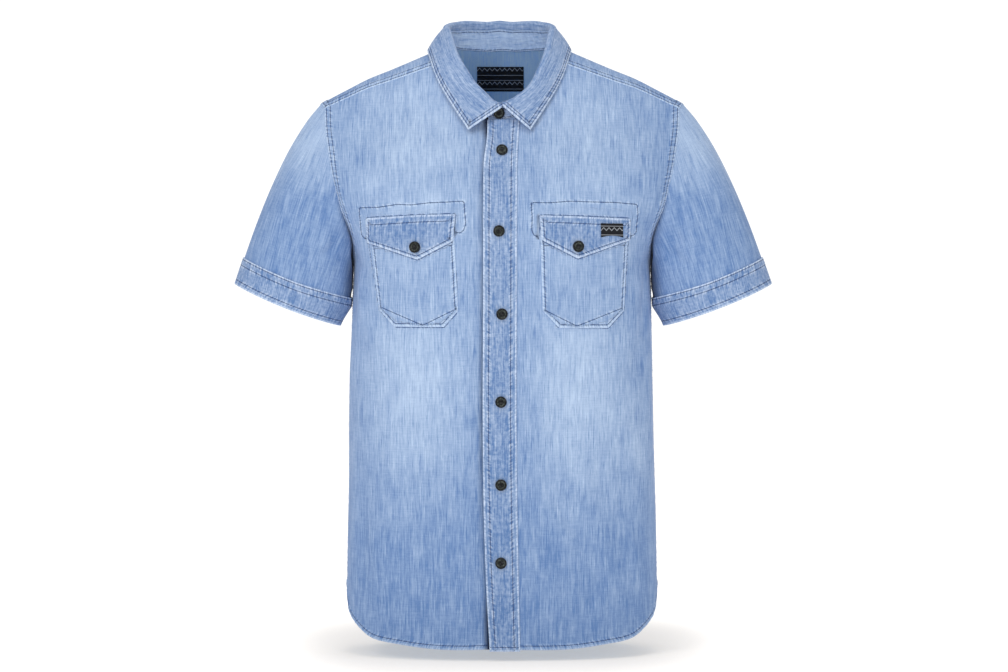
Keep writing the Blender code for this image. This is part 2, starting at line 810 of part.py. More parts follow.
def make_sleeve(side, flip, loop, outward):
    """A sleeve and its cuff band on one side."""
    spread = SLEEVE_SPREAD[side]
    places = np.linspace(0, BAND_TOP + BAND_OVERLAP, SLEEVE_ROWS + 1)
    points = sleeve_points(loop, places, spread)
    inside = points.mean(axis=1, keepdims=True)
    facing = normals(points, inside, closed=True)
    start = unit(points[1] - points[0])
    bends_in = np.sum((facing[0] - outward) * start, axis=-1, keepdims=True) < 0
    facing[0] = np.where(bends_in, facing[0], outward)
    fold_back = (1 - np.sum(unit(loop - loop.mean(axis=0)) * start, axis=-1, keepdims=True)) / 2
    points[0] += start * SEAM_GAP + outward * fold_back * 2 * SEAM_GAP
    mirror = np.array([flip, 1, 1])
    cloth(f"sleeve_{side}", points * mirror, (points - CLOTH * facing) * mirror, DENIM, closed=True)

    band = sleeve_points(loop, np.linspace(BAND_TOP, 1, BAND_ROWS + 1), spread)
    facing = normals(band, band.mean(axis=1, keepdims=True), closed=True)
    outer = (band + facing * (LAID_ON + BAND_CLOTH)) * mirror
    cloth(f"cuff_{side}", outer, (band + facing * LAID_ON) * mirror, DENIM_BAND, closed=True)


# ---------------------------------------------------------------- collar

def neckline(over, under, yoke):
    """The neckline once round, from the front end on top to the front end underneath."""
    first = over.points[BODY_ROWS + CHEST_ROWS:, 0]
    last = under.points[BODY_ROWS + CHEST_ROWS:, 0][::-1]
    return np.concatenate([first, yoke.points[0, 1:-1], last])


def collar_frame(neck):
    """Directions up the stand and out of it at each point of the neckline."""
    along = unit(np.gradient(neck, axis=0))
    upright = np.tile([0.0, 0.0, 1.0], (len(neck), 1))
    up = upright - np.sum(upright * along, axis=-1, keepdims=True) * along
    away = np.cross(along, up)
    if np.mean(np.sum(away * neck * [1, 1, 0], axis=-1)) < 0:
        away = -away
    up = unit(unit(up) - STAND_LEAN * smoothstep(1 + neck[:, 1:2] / NECK_REACH) * unit(away))
    return up, unit(away - np.sum(away * up, axis=-1, keepdims=True) * up)


def round_neck(neck):
    """Each neckline point's place round the neck: 0 and 1 where the two ends cross x = 0."""
    run = np.concatenate([[0], np.cumsum(np.linalg.norm(np.diff(neck, axis=0), axis=1))])
    first, last = np.s_[:NECK_ROWS], np.s_[-NECK_ROWS:]
    crossing = [np.interp(0, neck[first, 0], run[first]), np.interp(0, neck[last, 0], run[last])]
    return (run - crossing[0]) / (crossing[1] - crossing[0])


def collar_measure(field, place, start=0.0):
    """A measure of the collar at places round the neck; the table's row 0 is at the start."""
    half = np.clip((1 - np.abs(2 * place - 1) - 2 * start) / (1 - 2 * start), 0, 1)
    return curve_through(column(COLLAR, "place"), column(COLLAR, field), half)


def make_stand(neck):
    """The collar stand, a band that closes over itself at the centre front."""
    up, away = collar_frame(neck)
    base = neck + SEAM_GAP * (up - away)
    place = round_neck(neck)
    past_end = np.maximum(-place, place - 1) / STAND_END
    height = collar_measure("stand", place) * (1 - STAND_END_DROP * smoothstep(past_end))
    lean = collar_measure("shift", place)[:, None] * LEFTWARDS
    grid = np.stack([base + up * (height * part)[:, None] + lean * part
                     for part in np.linspace(0, 1, STAND_STEPS + 1)])
    cloth("collar_stand", grid, grid - COLLAR_CLOTH * away[None], DENIM_BAND)


def roll_profile(seat, up, away, rise, radius, edge):
    """One section of the leaf: up from the stand, round the roll and down to its edge."""
    centre = seat + up * rise + away * radius
    bends = [math.pi * step / ROLL_STEPS for step in range(ROLL_STEPS + 1)]
    roll = [centre + radius * (math.sin(bend) * up * ROLL_RADIUS / radius - math.cos(bend) * away)
            for bend in bends]
    fall = [roll[-1] + (edge - roll[-1]) * step / LEAF_STEPS for step in range(1, LEAF_STEPS + 1)]
    return np.array([seat] + roll + fall)


def make_leaf(neck):
    """The collar leaf, folded down over the stand, with its two points at the front."""
    up, away = collar_frame(neck)
    place = round_neck(neck)
    sections = []
    inner = place[(place > LEAF_INSET) & (place < 1 - LEAF_INSET)]
    for station in np.concatenate([[LEAF_START], inner, [1 - LEAF_START]]):
        at, up_at, away_at = (np.array([np.interp(station, place, grid[:, axis]) for axis in range(3)])
                              for grid in (neck, up, away))
        side = 1 if station < 0.5 else -1
        read = {field: float(collar_measure(field, station, LEAF_START))
                for field in CollarStation._fields[1:]}
        seat = at + up_at * (read["stand"] + 2 * SEAM_GAP) - away_at * (SEAM_GAP + COLLAR_CLOTH)
        seat += read["shift"] * LEFTWARDS
        edge = np.array([side * read["edge_x"], read["edge_over"]])
        edge = as_yoke(edge) + read["clear"] * torso_normals(edge, as_yoke) + EDGE_SHIFT * LEFTWARDS
        radius = ROLL_RADIUS + OVERLAP / 2 * smoothstep((station - TUCK_START) / TUCK_LENGTH)
        sections.append(roll_profile(seat, up_at, away_at, read["rise"], radius, edge))
    points = np.stack(sections)
    facing = leaf_normals(points)
    cloth("collar_leaf", points, points - COLLAR_CLOTH * facing, DENIM_BAND)


def leaf_normals(points):
    """Normals of the leaf on the side that shows, the outside of its roll."""
    facing = unit(np.cross(slopes(points, 0, False), slopes(points, 1, False)))
    falling = facing[:, -2]
    if np.mean(np.sum(falling * points[:, -2] * [1, 1, 0], axis=-1)) < 0:
        facing = -facing
    return facing


# ---------------------------------------------------------------- on the fronts

def on_front(x, z, lift):
    """Points of the front skin at x and z, moved out by a lift."""
    pairs = np.stack([turn_at(x, z), z], axis=-1)
    return as_skin(pairs) + np.asarray(lift, float)[..., None] * torso_normals(pairs, as_skin)


def between(top, bottom, cells, rows):
    """A grid of (x, z) between two outlines, with a column through each of their corners."""
    parts = np.concatenate([[0]] + [np.linspace(index, index + 1, count + 1)[1:]
                                    for index, count in enumerate(cells)])
    knots = np.arange(len(top))
    upper, lower = (np.stack([np.interp(parts, knots, np.array(line, float)[:, axis])
                              for axis in (0, 1)], axis=-1) for line in (top, bottom))
    down = np.linspace(0, 1, rows + 1)[:, None, None]
    return upper[None] * (1 - down) + lower[None] * down


def lay(name, pairs, lift, thickness, finish):
    """Lay a piece of cloth on the fronts."""
    lift = np.broadcast_to(lift, pairs.shape[:2])
    outer = on_front(pairs[..., 0], pairs[..., 1], lift + thickness)
    inner = on_front(pairs[..., 0], pairs[..., 1], lift)
    cloth(name, outer, inner, finish)


def make_placket():
    """The placket down the front of the wearer's left front, on the same rows as the front."""
    rows = edge_heights()
    halfway = (rows[BODY_ROWS:-1] + rows[BODY_ROWS + 1:]) / 2
    z = np.clip(np.sort(np.concatenate([rows, halfway])), PLACKET_BOTTOM_Z, PLACKET_TOP_Z)
    right, left = placket_edge("right")(z), placket_edge("left")(z)
    across = np.linspace(0, 1, PLACKET_COLUMNS + 1)
    x = right[:, None] * (1 - across) + left[:, None] * across
    pairs = np.stack([x, np.broadcast_to(z[:, None], x.shape)], axis=-1)
    lay("placket", pairs, LAID_ON, PLACKET_CLOTH, DENIM_BAND)


def make_pockets():
    """Chest pockets and the flaps over them."""
    for pocket in POCKETS:
        body = between(pocket.body_top, pocket.body_bottom, POCKET_CELLS, POCKET_ROWS)
        lay(f"pocket_{pocket.side}", body, LAID_ON, POCKET_CLOTH, DENIM)
        flap = between(pocket.flap_top, pocket.flap_bottom, FLAP_CELLS, FLAP_ROWS)
        lay(f"flap_{pocket.side}", flap, flap_lift(), FLAP_CLOTH, DENIM_BAND)


def flap_lift():
    """A flap is sewn to the front along its top and lies on the pocket below."""
    down = np.linspace(0, 1, FLAP_ROWS + 1)[:, None]
    return LAID_ON + (POCKET_CLOTH + LAID_ON) * smoothstep(down * FLAP_ROWS)


def make_labels():
    """The tab on the left flap, and the label inside the back neck."""
    x, z = np.meshgrid(np.linspace(TAB["right"], TAB["left"], 4), np.linspace(TAB["top"], TAB["bottom"], 3))
    sag = np.sin(np.pi * (x - TAB["right"]) / (TAB["left"] - TAB["right"]))
    z = z + TAB["dip"] * sag * (z == TAB["bottom"])
    lay("pocket_tab", np.stack([x, z], axis=-1), ON_FLAP + LAID_ON, LABEL_CLOTH, LABEL)
    x, z = np.meshgrid(np.linspace(NECK_LABEL["left"], NECK_LABEL["right"], 5),
                       np.linspace(NECK_LABEL["top"], NECK_LABEL["bottom"], 4))
    pairs = np.stack([math.pi - turn_at(x, z), z], axis=-1)
    facing = torso_normals(pairs, as_skin)
    hidden = as_skin(pairs) - (CLOTH + LAID_ON) * facing
    cloth("neck_label", hidden - LABEL_CLOTH * facing, hidden, LABEL)


def make_button(name, centre, facing):
    """A turned metal button whose back is at a point and whose face looks along a direction."""
    outline = bmesh.new()
    corners = [outline.verts.new((row.radius * MM, 0, row.height * MM)) for row in BUTTON_PROFILE]
    for first, second in zip(corners, corners[1:]):
        outline.edges.new((first, second))
    button = add_object(name, outline, METAL)
    turned = button.modifiers.new("turned", "SCREW")
    turned.axis = "Z"
    turned.steps = turned.render_steps = BUTTON_STEPS
    turned.use_merge_vertices = True
    turned.merge_threshold = 0.00001
    z_axis = Vector(facing)
    x_axis = Vector((0, 0, 1)).cross(z_axis).normalized()
    turn = Matrix((x_axis, z_axis.cross(x_axis), z_axis)).transposed()
    button.matrix_world = Matrix.Translation(Vector(centre) * MM) @ turn.to_4x4()


def make_buttons(neck):
    """The buttons down the front, on the stand and on the flaps."""
    for seat in BUTTONS:
        pair = np.array([float(turn_at(seat.x, seat.z)), seat.z])
        facing = torso_normals(pair, as_skin)
        make_button(seat.name, as_skin(pair) + facing * (seat.lift + LAID_ON), facing)
    up, away = collar_frame(neck)
    front = neck[:NECK_ROWS]
    base = np.array([np.interp(COLLAR_BUTTON_X, front[:, 0], front[:, axis]) for axis in range(3)])
    facing = away[np.argmin(np.abs(front[:, 0] - COLLAR_BUTTON_X))]
    middle = base + up[0] * COLLAR_BUTTON_RISE + facing * SEAM_GAP
    make_button("button_1", middle, facing)


def main():
    """Build the shirt."""
    for item in list(bpy.data.objects):
        bpy.data.objects.remove(item, do_unlink=True)
    collection = bpy.data.collections.new("denim_shirt")
    bpy.context.scene.collection.children.link(collection)
    over, under = make_fronts()
    back = make_back()
    yoke = make_yoke()
    for side, flip, front in (("left", 1, over), ("right", -1, under)):
        make_sleeve(side, flip, *armhole_loop(front, yoke, back, flip))
    neck = neckline(over, under, yoke)
    make_stand(neck)
    make_leaf(neck)
    make_placket()
    make_pockets()
    make_labels()
    make_buttons(neck)


if __name__ == "__main__":
    main()
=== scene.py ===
"""Looks of a short-sleeved denim shirt, buttoned up and filled out, with nobody in it.

Every piece of cloth is a thin shell on the form of its rigid solid. The torso is one smooth skin: a
point of it has a turn about the upright axis (0 at the centre front, growing to the wearer's left) and
a height. Lengths in the tables are in millimetres and angles in degrees, and meshes are in metres.
+X is the wearer's left, the front faces -Y and +Z is up. A table's columns are the fields of its rows.
"""

from __future__ import annotations

import logging
import math
from dataclasses import dataclass, field
from enum import Enum
from typing import Any, Callable, NamedTuple, Optional, Sequence

import bpy
import numpy as np
from mathutils import Matrix, Vector
from mathutils.kdtree import KDTree

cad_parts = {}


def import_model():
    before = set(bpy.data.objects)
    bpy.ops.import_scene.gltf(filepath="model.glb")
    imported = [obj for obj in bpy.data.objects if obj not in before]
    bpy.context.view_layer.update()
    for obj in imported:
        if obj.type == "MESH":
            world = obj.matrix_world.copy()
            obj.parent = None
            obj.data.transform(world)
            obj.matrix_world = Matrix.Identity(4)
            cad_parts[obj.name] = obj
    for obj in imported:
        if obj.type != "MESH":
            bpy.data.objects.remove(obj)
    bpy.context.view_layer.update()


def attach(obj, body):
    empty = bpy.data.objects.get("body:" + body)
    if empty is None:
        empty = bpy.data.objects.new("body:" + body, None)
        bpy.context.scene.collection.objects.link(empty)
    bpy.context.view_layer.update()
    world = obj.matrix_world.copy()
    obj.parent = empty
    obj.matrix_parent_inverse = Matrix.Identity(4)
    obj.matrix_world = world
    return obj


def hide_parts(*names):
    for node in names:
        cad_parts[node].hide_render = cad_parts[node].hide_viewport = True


LOG = logging.getLogger("denim_shirt")
MM = 0.001
ROOT = "root"
Array = np.ndarray
Colour = tuple[float, float, float]
Outline = Sequence[tuple[float, float]]
Stitches = tuple[Array, Array]


# ================================================================ the shirt's form

SQUARENESS = 2.4
ROLL_FRONT = 150.0
ROLL_BACK = 120.0
MEAN_RADIUS = 165.0
FOLD_EASE = 1.5
CREASE_EASE = 1.3
CREASE_START = 0.7
CREASE_GROWTH = 0.5
SIDE_FADE = 0.35
YOKE_BACK_Z = -90.0
UNDERARM_Z = -258.0
SIDE_TURN = math.pi / 2
OVERLAP = 3.6
PLACKET_TOP_Z = -90.0
BASE_FADE = 0.17
SEAM_GAP = 0.3
LEFTWARDS = np.array([1.0, 0.0, 0.0])


class Level(NamedTuple):
    """The torso at one height: half its width, and how far its front and back stand out."""
    z: float
    half_width: float
    front: float
    back: float


class FrontPoint(NamedTuple):
    """A point seen from the front."""
    x: float
    z: float


class TurnPoint(NamedTuple):
    """A point of an edge of the torso's panels, as a turn and a height."""
    turn: float
    z: float


class ShoulderPoint(NamedTuple):
    """A place on the yoke: distance out from the middle, and angle over the shoulder."""
    x: float
    over: float


class SleeveSection(NamedTuple):
    """A ring of the sleeve: its outer and inner points seen from the front, and half its depth."""
    place: float
    outer_x: float
    outer_z: float
    inner_x: float
    inner_z: float
    depth: float


class Fold(NamedTuple):
    """A soft ridge (depth over 0) or trough down the torso; lean is its turn for each metre down."""
    turn: float
    lean: float
    top: float
    bottom: float
    width: float
    depth: float


class Crease(NamedTuple):
    """A crease between two places seen from the front or back: a ridge above 0, a trough below."""
    x0: float
    z0: float
    x1: float
    z1: float
    width: float
    depth: float
    bow: float


class PlacketEdge(NamedTuple):
    """The placket's two long edges at one height."""
    z: float
    right: float
    left: float


class CollarStation(NamedTuple):
    """The collar at one place round the neck (0 centre front, 1 centre back).

    stand is the stand's height, shift how far its top leans to the wearer's left, and rise how far
    the leaf climbs past it before it rolls over. The leaf's lower edge is a yoke point (edge_x, and
    edge_over degrees over the shoulder), clear of the torso.
    """
    place: float
    stand: float
    shift: float
    rise: float
    edge_x: float
    edge_over: float
    clear: float


class LeafLevel(NamedTuple):
    """How much further the leaf climbs near one place (0 centre front, 1 centre back)."""
    place: float
    width: float
    amount: float


class FadeSpot(NamedTuple):
    """A washed-out (amount over 0) or darker patch, seen from the front, with soft edges."""
    x: float
    z: float
    width: float
    height: float
    amount: float


def table(kind: Callable[..., Any], *rows: Sequence[Any]) -> tuple[Any, ...]:
    """The rows of a table, each made the kind whose fields name the columns."""
    return tuple(kind(*row) for row in rows)


TORSO = table(
    Level,
    (-760, 193.5, 121, 128), (-688, 193.5, 122, 130), (-588, 192, 123, 129), (-488, 189, 122, 126),
    (-388, 187, 121, 124), (-310, 185.7, 121, 127), (-258, 186, 122, 131), (-240, 190, 122, 132),
    (-183, 225, 117, 134), (-129, 238, 93, 130), (-90, 240, 72, 120), (-60, 240, 62, 109), (0, 240, 60, 95),
    (40, 240, 60, 90),
)
RIDGE = table(
    FrontPoint,
    (0, 27), (40, 17), (66, 5), (96, -8), (137.5, -25.6), (168, -38), (192.5, -50.6), (216, -63), (240, -77),
)
HEM = table(
    TurnPoint,
    (0, -738), (20, -738), (36, -733.5), (56, -725), (63, -717), (70, -709), (77, -700), (90, -670),
)
ARMHOLE_FRONT = table(
    TurnPoint,
    (90, -258), (81, -247), (72.6, -227), (66.3, -207), (62.8, -183), (61.7, -156), (61.9, -129),
    (63.6, -102),
)
ARMHOLE_BACK = table(
    TurnPoint,
    (90, -258), (82.5, -247), (75, -227), (70, -207), (67.5, -183), (66.8, -156), (67.4, -129),
)
NECK_FRONT = table(
    FrontPoint,
    (0, -88), (12, -86.5), (25, -80), (45, -60), (57, -33),
)
NECK_YOKE = table(
    ShoulderPoint,
    (61.5, -30.5), (65, -14), (66, 0), (63.5, 11.5), (55, 23), (40, 31), (20, 36.7), (0, 39),
)
ARMHOLE_TOP = table(ShoulderPoint, (220.5, -20.5), (226, 0), (225.5, 35.2))
SLEEVE = table(
    SleeveSection,
    (0, 226, -68, 187, -257.5, 60), (0.15, 243, -89, 188, -263, 62), (0.3, 262.5, -120, 189, -270, 62),
    (0.5, 286, -168, 190, -282, 61), (0.7, 306.5, -218, 190.8, -297, 58),
    (0.86, 321.5, -260, 192.5, -311, 56), (1, 332.5, -293, 203, -344.5, 54),
)
FOLDS = table(
    Fold,
    (-73, -60, -235, -400, 13, -3), (-80, -40, -270, -560, 22, 3), (73, -50, -235, -380, 13, -3),
    (77, -20, -260, -600, 21, 2.5), (14, 150, -520, -690, 18, -3), (44, 30, -430, -730, 26, -3.5),
    (-38, -20, -470, -740, 30, 3), (-62, 15, -500, -700, 22, -3), (108, 20, -270, -600, 24, -4),
    (136, -25, -180, -520, 30, 4), (158, 10, -330, -730, 28, -4.5), (187, -15, -220, -640, 26, 3.5),
    (214, 20, -300, -700, 32, -4), (241, -30, -210, -560, 24, 4),
)
FRONT_CREASES = table(
    Crease,
    (-196, -215, -168, -285, 7, -3.1, 5), (-188, -245, -172, -350, 9, 2.3, -4),
    (-212, -150, -196, -205, 6, -2.2, 3), (-176, -330, -150, -450, 10, -1.8, 6),
    (-170, -60, -128, -150, 13, -1.8, -6), (-120, -70, -95, -140, 11, 1.3, 4),
    (-140, -420, -120, -560, 13, 1.6, 5), (-80, -520, -55, -660, 12, -1.8, -5),
    (-165, -560, -140, -690, 11, 1.8, 4), (-60, -365, -35, -470, 10, 1.2, -4),
    (195, -215, 170, -290, 7, -2.9, -5), (186, -255, 160, -340, 9, 2.2, 4),
    (208, -140, 196, -198, 6, -2, -3), (172, -340, 150, -430, 9, -1.6, -5),
    (165, -58, 140, -140, 12, 1.6, 5), (95, -65, 82, -150, 10, -1.2, -4), (26, -545, 82, -640, 7, -2.8, 7),
    (38, -525, 98, -616, 8, 2.4, 7), (110, -480, 128, -600, 12, -1.8, -5), (145, -560, 170, -680, 11, 2, -4),
    (60, -400, 52, -500, 10, 1.2, 4), (120, -650, 100, -720, 9, -1.6, 3),
    (-120, -655, -100, -725, 9, -1.3, -3),
)
BACK_CREASES = table(
    Crease,
    (-205, -150, -160, -230, 10, -3.4, -8), (-190, -225, -120, -300, 12, 2.8, -8),
    (-175, -280, -140, -400, 12, -2.8, -6), (-90, -110, -70, -260, 15, 2.3, 8),
    (-60, -300, -30, -470, 14, -2.3, -7), (-130, -480, -100, -640, 14, 2.7, 6),
    (-20, -520, 10, -690, 13, 2.3, 7), (202, -145, 155, -235, 10, -3.2, 8),
    (188, -235, 110, -295, 12, 2.8, 7), (172, -290, 130, -420, 13, -2.7, 6),
    (85, -105, 60, -240, 14, 2.1, -7), (40, -330, 75, -480, 14, -2.5, 7),
    (140, -500, 105, -650, 14, 2.5, -6), (20, -240, -10, -340, 11, 1.7, 5),
)
SLEEVE_CREASES = {
    "left": table(
        Crease,
        (196, -240, 248, -276, 8, -2.6, 5), (202, -214, 262, -232, 9, 2, 6),
        (219, -188, 207, -278, 9, -2.6, -5), (232, -176, 222, -268, 10, 1.9, -4),
        (230, -112, 256, -196, 11, -1.4, 6), (256, -124, 288, -222, 13, 1.4, -6),
        (278, -180, 300, -262, 10, -1.3, 4),
    ),
    "right": table(
        Crease,
        (198, -236, 252, -266, 8, -2.5, 5), (232, -178, 214, -208, 8, -2.3, -3),
        (212, -206, 238, -284, 9, 2.2, 4), (240, -150, 226, -240, 9, 1.6, 5),
        (236, -104, 250, -180, 12, -1.4, -5), (262, -150, 292, -240, 12, 1.4, 6),
        (246, -210, 272, -296, 9, -1.4, 4),
    ),
}
PLACKET_CREASES = table(
    Crease,
    (15, -91, 1, -113, 3.2, 1.1, 2), (20, -97, 7, -124, 3.0, -1, 2), (-12, -92, -3, -116, 3.2, -0.9, -2),
    (-15, -104, -9, -140, 3.4, 0.7, 2), (4, -138, 12, -176, 4.0, -0.5, -2),
    (-14, -236, -4, -276, 4.0, -0.5, 2), (12, -262, 4, -300, 4.0, 0.5, 2),
    (-12, -366, -2, -412, 4.5, 0.5, -2), (11, -446, 2, -498, 4.5, -0.5, 2),
    (-12, -560, 4, -604, 4.5, 0.6, -2), (12, -650, -2, -700, 4.5, -0.6, 2),
)
PLACKET = table(
    PlacketEdge,
    (-750, -14.5, 22.5), (-652, -19.6, 20.3), (-432, -23.6, 17.6), (-340, -23.1, 17.9), (-250, -22.9, 18.1),
    (-180, -22.8, 18.3), (-139, -22, 18.8), (-112, -18.5, 20.2), (-82, -18, 22.4),
)
COLLAR = table(
    CollarStation,
    (0.0, 15, 2.5, 0.8, 38.5, -79.5, 7), (0.11, 15.5, 2.5, 1, 56, -65, 5.5),
    (0.24, 16, 1.5, 1.5, 72.5, -48.5, 4), (0.4, 17, -1, 1, 83.5, -29, 4), (0.6, 17.5, -3, 1.5, 87.5, 4, 4),
    (0.8, 25, -3, 5.5, 64, 37, 9), (1.0, 27, -3, 5.5, 0, 46, 11),
)
LEAF_LEVELS = table(LeafLevel, (0.72, 0.10, 2.0), (1.0, 0.08, -0.3))
FRONT_FADES = table(
    FadeSpot,
    (-105, -95, 105, 95, 0.46), (105, -95, 95, 95, 0.40), (-105, -230, 95, 75, 0.26),
    (98, -230, 88, 75, 0.22), (-105, -410, 74, 140, 0.54), (92, -415, 68, 145, 0.55),
    (166, -490, 26, 62, 0.2),
)
BACK_FADES = table(
    FadeSpot,
    (0, -60, 190, 110, 0.42), (-70, -360, 80, 150, 0.40), (75, -370, 80, 150, 0.38),
)


# ---------------------------------------------------------------- curves

def column(rows: Sequence[Any], name: str) -> Array:
    """One named column of a table, as an array."""
    return np.array([getattr(row, name) for row in rows], dtype=float)


def curve_through(knots: Array, values: Array, at: Any) -> Array:
    """Read a smooth curve through the knots at the places asked for."""
    slope = np.gradient(values, knots)
    at = np.clip(at, knots[0], knots[-1])
    span = np.clip(np.searchsorted(knots, at, side="right") - 1, 0, len(knots) - 2)
    width = knots[span + 1] - knots[span]
    t = (at - knots[span]) / width
    start, end = values[span], values[span + 1]
    return (start * (1 + 2 * t) * (1 - t) ** 2 + end * t * t * (3 - 2 * t)
            + width * t * (1 - t) * (slope[span] * (1 - t) - slope[span + 1] * t))


def read(rows: Sequence[Any], key: str, name: str, at: Any) -> Array:
    """Read one column of a table smoothly, at values of its key column."""
    return curve_through(column(rows, key), column(rows, name), at)


def smoothstep(t: Any) -> Array:
    """Ease from 0 to 1."""
    t = np.clip(t, 0, 1)
    return t * t * (3 - 2 * t)


def signed_power(value: Array, power: float) -> Array:
    """Raise the size of a value to a power and keep its sign."""
    return np.sign(value) * np.abs(value) ** power


def bell(value: Array, width: float) -> Array:
    """1 where a value is 0, falling off softly over a width either side."""
    return np.exp(-(value / width) ** 2)


def dot(first: Array, second: Array) -> Array:
    """Dot products of vectors, kept as a last axis of length 1."""
    return np.sum(first * second, axis=-1, keepdims=True)


def unit(vectors: Array) -> Array:
    """Scale vectors to length 1."""
    return vectors / np.maximum(np.linalg.norm(vectors, axis=-1, keepdims=True), 1e-12)


def stacked(*parts: Any) -> Array:
    """Points or rows from their coordinates."""
    return np.stack(np.broadcast_arrays(*parts), axis=-1)


def even(cells: int) -> Array:
    """Even fractions from 0 to 1."""
    return np.linspace(0, 1, cells + 1)


def lengths_along(line: Array) -> Array:
    """Distance from a line's start to each of its points."""
    return np.concatenate([[0.0], np.cumsum(np.linalg.norm(np.diff(line, axis=0), axis=1))])


def read_line(line: Array, run: Array, at: Any) -> Array:
    """Read each coordinate of a line at distances along it."""
    return np.stack([np.interp(at, run, line[:, axis]) for axis in range(line.shape[1])], axis=-1)


# ---------------------------------------------------------------- the torso's skin

def ridge_height(x: Array) -> Array:
    """Height of the top of the shoulder."""
    return read(RIDGE, "x", "z", np.abs(x))


def hem_height(turn: Any) -> Array:
    """Height of the hem at a turn; the front and back tails are alike."""
    return read(HEM, "turn", "z", 90 - np.abs(90 - np.abs(np.degrees(turn)) % 180))


def fold_height(turn: Array, z: Array) -> Array:
    """How far the large folds lift the cloth off the plain form."""
    lift = np.zeros(np.broadcast(turn, z).shape)
    for fold in FOLDS:
        down = (fold.top - z) / (fold.top - fold.bottom)
        middle = fold.turn + fold.lean * (fold.top - z) * MM
        away = (np.degrees(turn) - middle + 180) % 360 - 180
        across = bell(np.radians(away) * MEAN_RADIUS, fold.width)
        lift += fold.depth * across * np.sin(np.pi * np.clip(down, 0, 1)) ** FOLD_EASE
    return lift


def crease_height(creases: Sequence[Crease], x: Array, z: Array) -> Array:
    """How far a table of creases lifts the cloth at places seen from the front or back."""
    lift = np.zeros(np.broadcast(x, z).shape)
    for crease in creases:
        run_x, run_z = crease.x1 - crease.x0, crease.z1 - crease.z0
        length = math.hypot(run_x, run_z)
        along = ((x - crease.x0) * run_x + (z - crease.z0) * run_z) / length ** 2
        inside = np.clip(along, 0, 1)
        across = ((x - crease.x0) * run_z - (z - crease.z0) * run_x) / length
        across = across - crease.bow * 4 * inside * (1 - inside)
        spread = crease.width * (CREASE_START + CREASE_GROWTH * inside)
        lift += crease.depth * np.sin(np.pi * inside) ** CREASE_EASE * bell(across, spread)
    return lift


def skin(turn: Array, z: Array) -> Array:
    """Points of the torso at turns (radians) and heights."""
    turn, z = np.broadcast_arrays(np.asarray(turn, float), np.asarray(z, float))
    half_width = read(TORSO, "z", "half_width", z)
    x = half_width * signed_power(np.sin(turn), 2 / SQUARENESS)
    is_front = np.cos(turn) >= 0
    depth = np.where(is_front, read(TORSO, "z", "front", z), read(TORSO, "z", "back", z))
    drop = np.clip((ridge_height(x) - z) / np.where(is_front, ROLL_FRONT, ROLL_BACK), 0, 1)
    y = -depth * signed_power(np.cos(turn), 2 / SQUARENESS) * np.sqrt(1 - (1 - drop) ** 2)
    outward = stacked(signed_power(x / half_width, SQUARENESS - 1) / half_width,
                      signed_power(y / depth, SQUARENESS - 1) / depth, 0.0)
    creases = np.where(is_front, crease_height(FRONT_CREASES, x, z), crease_height(BACK_CREASES, x, z))
    creases = creases * smoothstep(np.abs(np.cos(turn)) / SIDE_FADE)
    return stacked(x, y, z) + unit(outward) * (fold_height(turn, z) + creases)[..., None]


def turn_at(x: Array, z: Array) -> Array:
    """The turn of the front skin's point that has this x and height."""
    reach = np.clip(np.abs(x) / read(TORSO, "z", "half_width", z), 0, 1) ** (SQUARENESS / 2)
    return np.sign(x) * np.arcsin(reach)


def over_shoulder(x: Array, over: Array) -> tuple[Array, Array]:
    """Turn and height of a yoke point at an angle (degrees) over the shoulder, front below 0."""
    z = ridge_height(x) - np.where(over < 0, ROLL_FRONT, ROLL_BACK) * (1 - np.cos(np.radians(over)))
    turn = turn_at(x, z)
    return np.where(over < 0, turn, np.pi - turn), z


def as_skin(pairs: Array) -> Array:
    """Torso points for (turn, height) pairs."""
    return skin(pairs[..., 0], pairs[..., 1])


def as_yoke(pairs: Array) -> Array:
    """Torso points for (x, angle over the shoulder) pairs."""
    return skin(*over_shoulder(pairs[..., 0], pairs[..., 1]))


ToPoints = Callable[[Array], Array]
NORMAL_STEPS = {as_skin: np.array([[0.004, 0], [0, 0.6]]), as_yoke: np.array([[0.6, 0], [0, 0.4]])}


def torso_normals(pairs: Array, to_points: ToPoints) -> Array:
    """The torso's normals, pointing out of the shirt, at a grid of pairs."""
    steps = [to_points(pairs + step) - to_points(pairs - step) for step in NORMAL_STEPS[to_points]]
    facing = unit(np.cross(steps[0], steps[1]))
    points = to_points(pairs)
    outward = points * [1, 1, 0] + [0, 0, 1] * (points[..., 2:] > UNDERARM_Z) * ROLL_FRONT / 2
    return facing * np.sign(dot(facing, outward))


def laid_on(flat: Array, lift: Any, is_back: bool = False) -> tuple[Array, Array]:
    """Points of the front or back skin at (x, z) places, moved out by a lift, and the normals there."""
    turn = turn_at(flat[..., 0], flat[..., 1])
    pairs = stacked(math.pi - turn if is_back else turn, flat[..., 1])
    facing = torso_normals(pairs, as_skin)
    return as_skin(pairs) + facing * np.broadcast_to(lift, flat.shape[:-1])[..., None], facing


def spaced(controls: Sequence[Any], places: Array, to_points: ToPoints) -> Array:
    """Resample a smooth path through control pairs at fractions of its length on the cloth."""
    controls = np.asarray(controls, float)
    knots = np.arange(len(controls))
    fine = np.linspace(0, len(controls) - 1, 60 * len(controls))
    path = stacked(*(curve_through(knots, controls[:, axis], fine) for axis in (0, 1)))
    run = lengths_along(to_points(path))
    return read_line(path, run, places * run[-1])


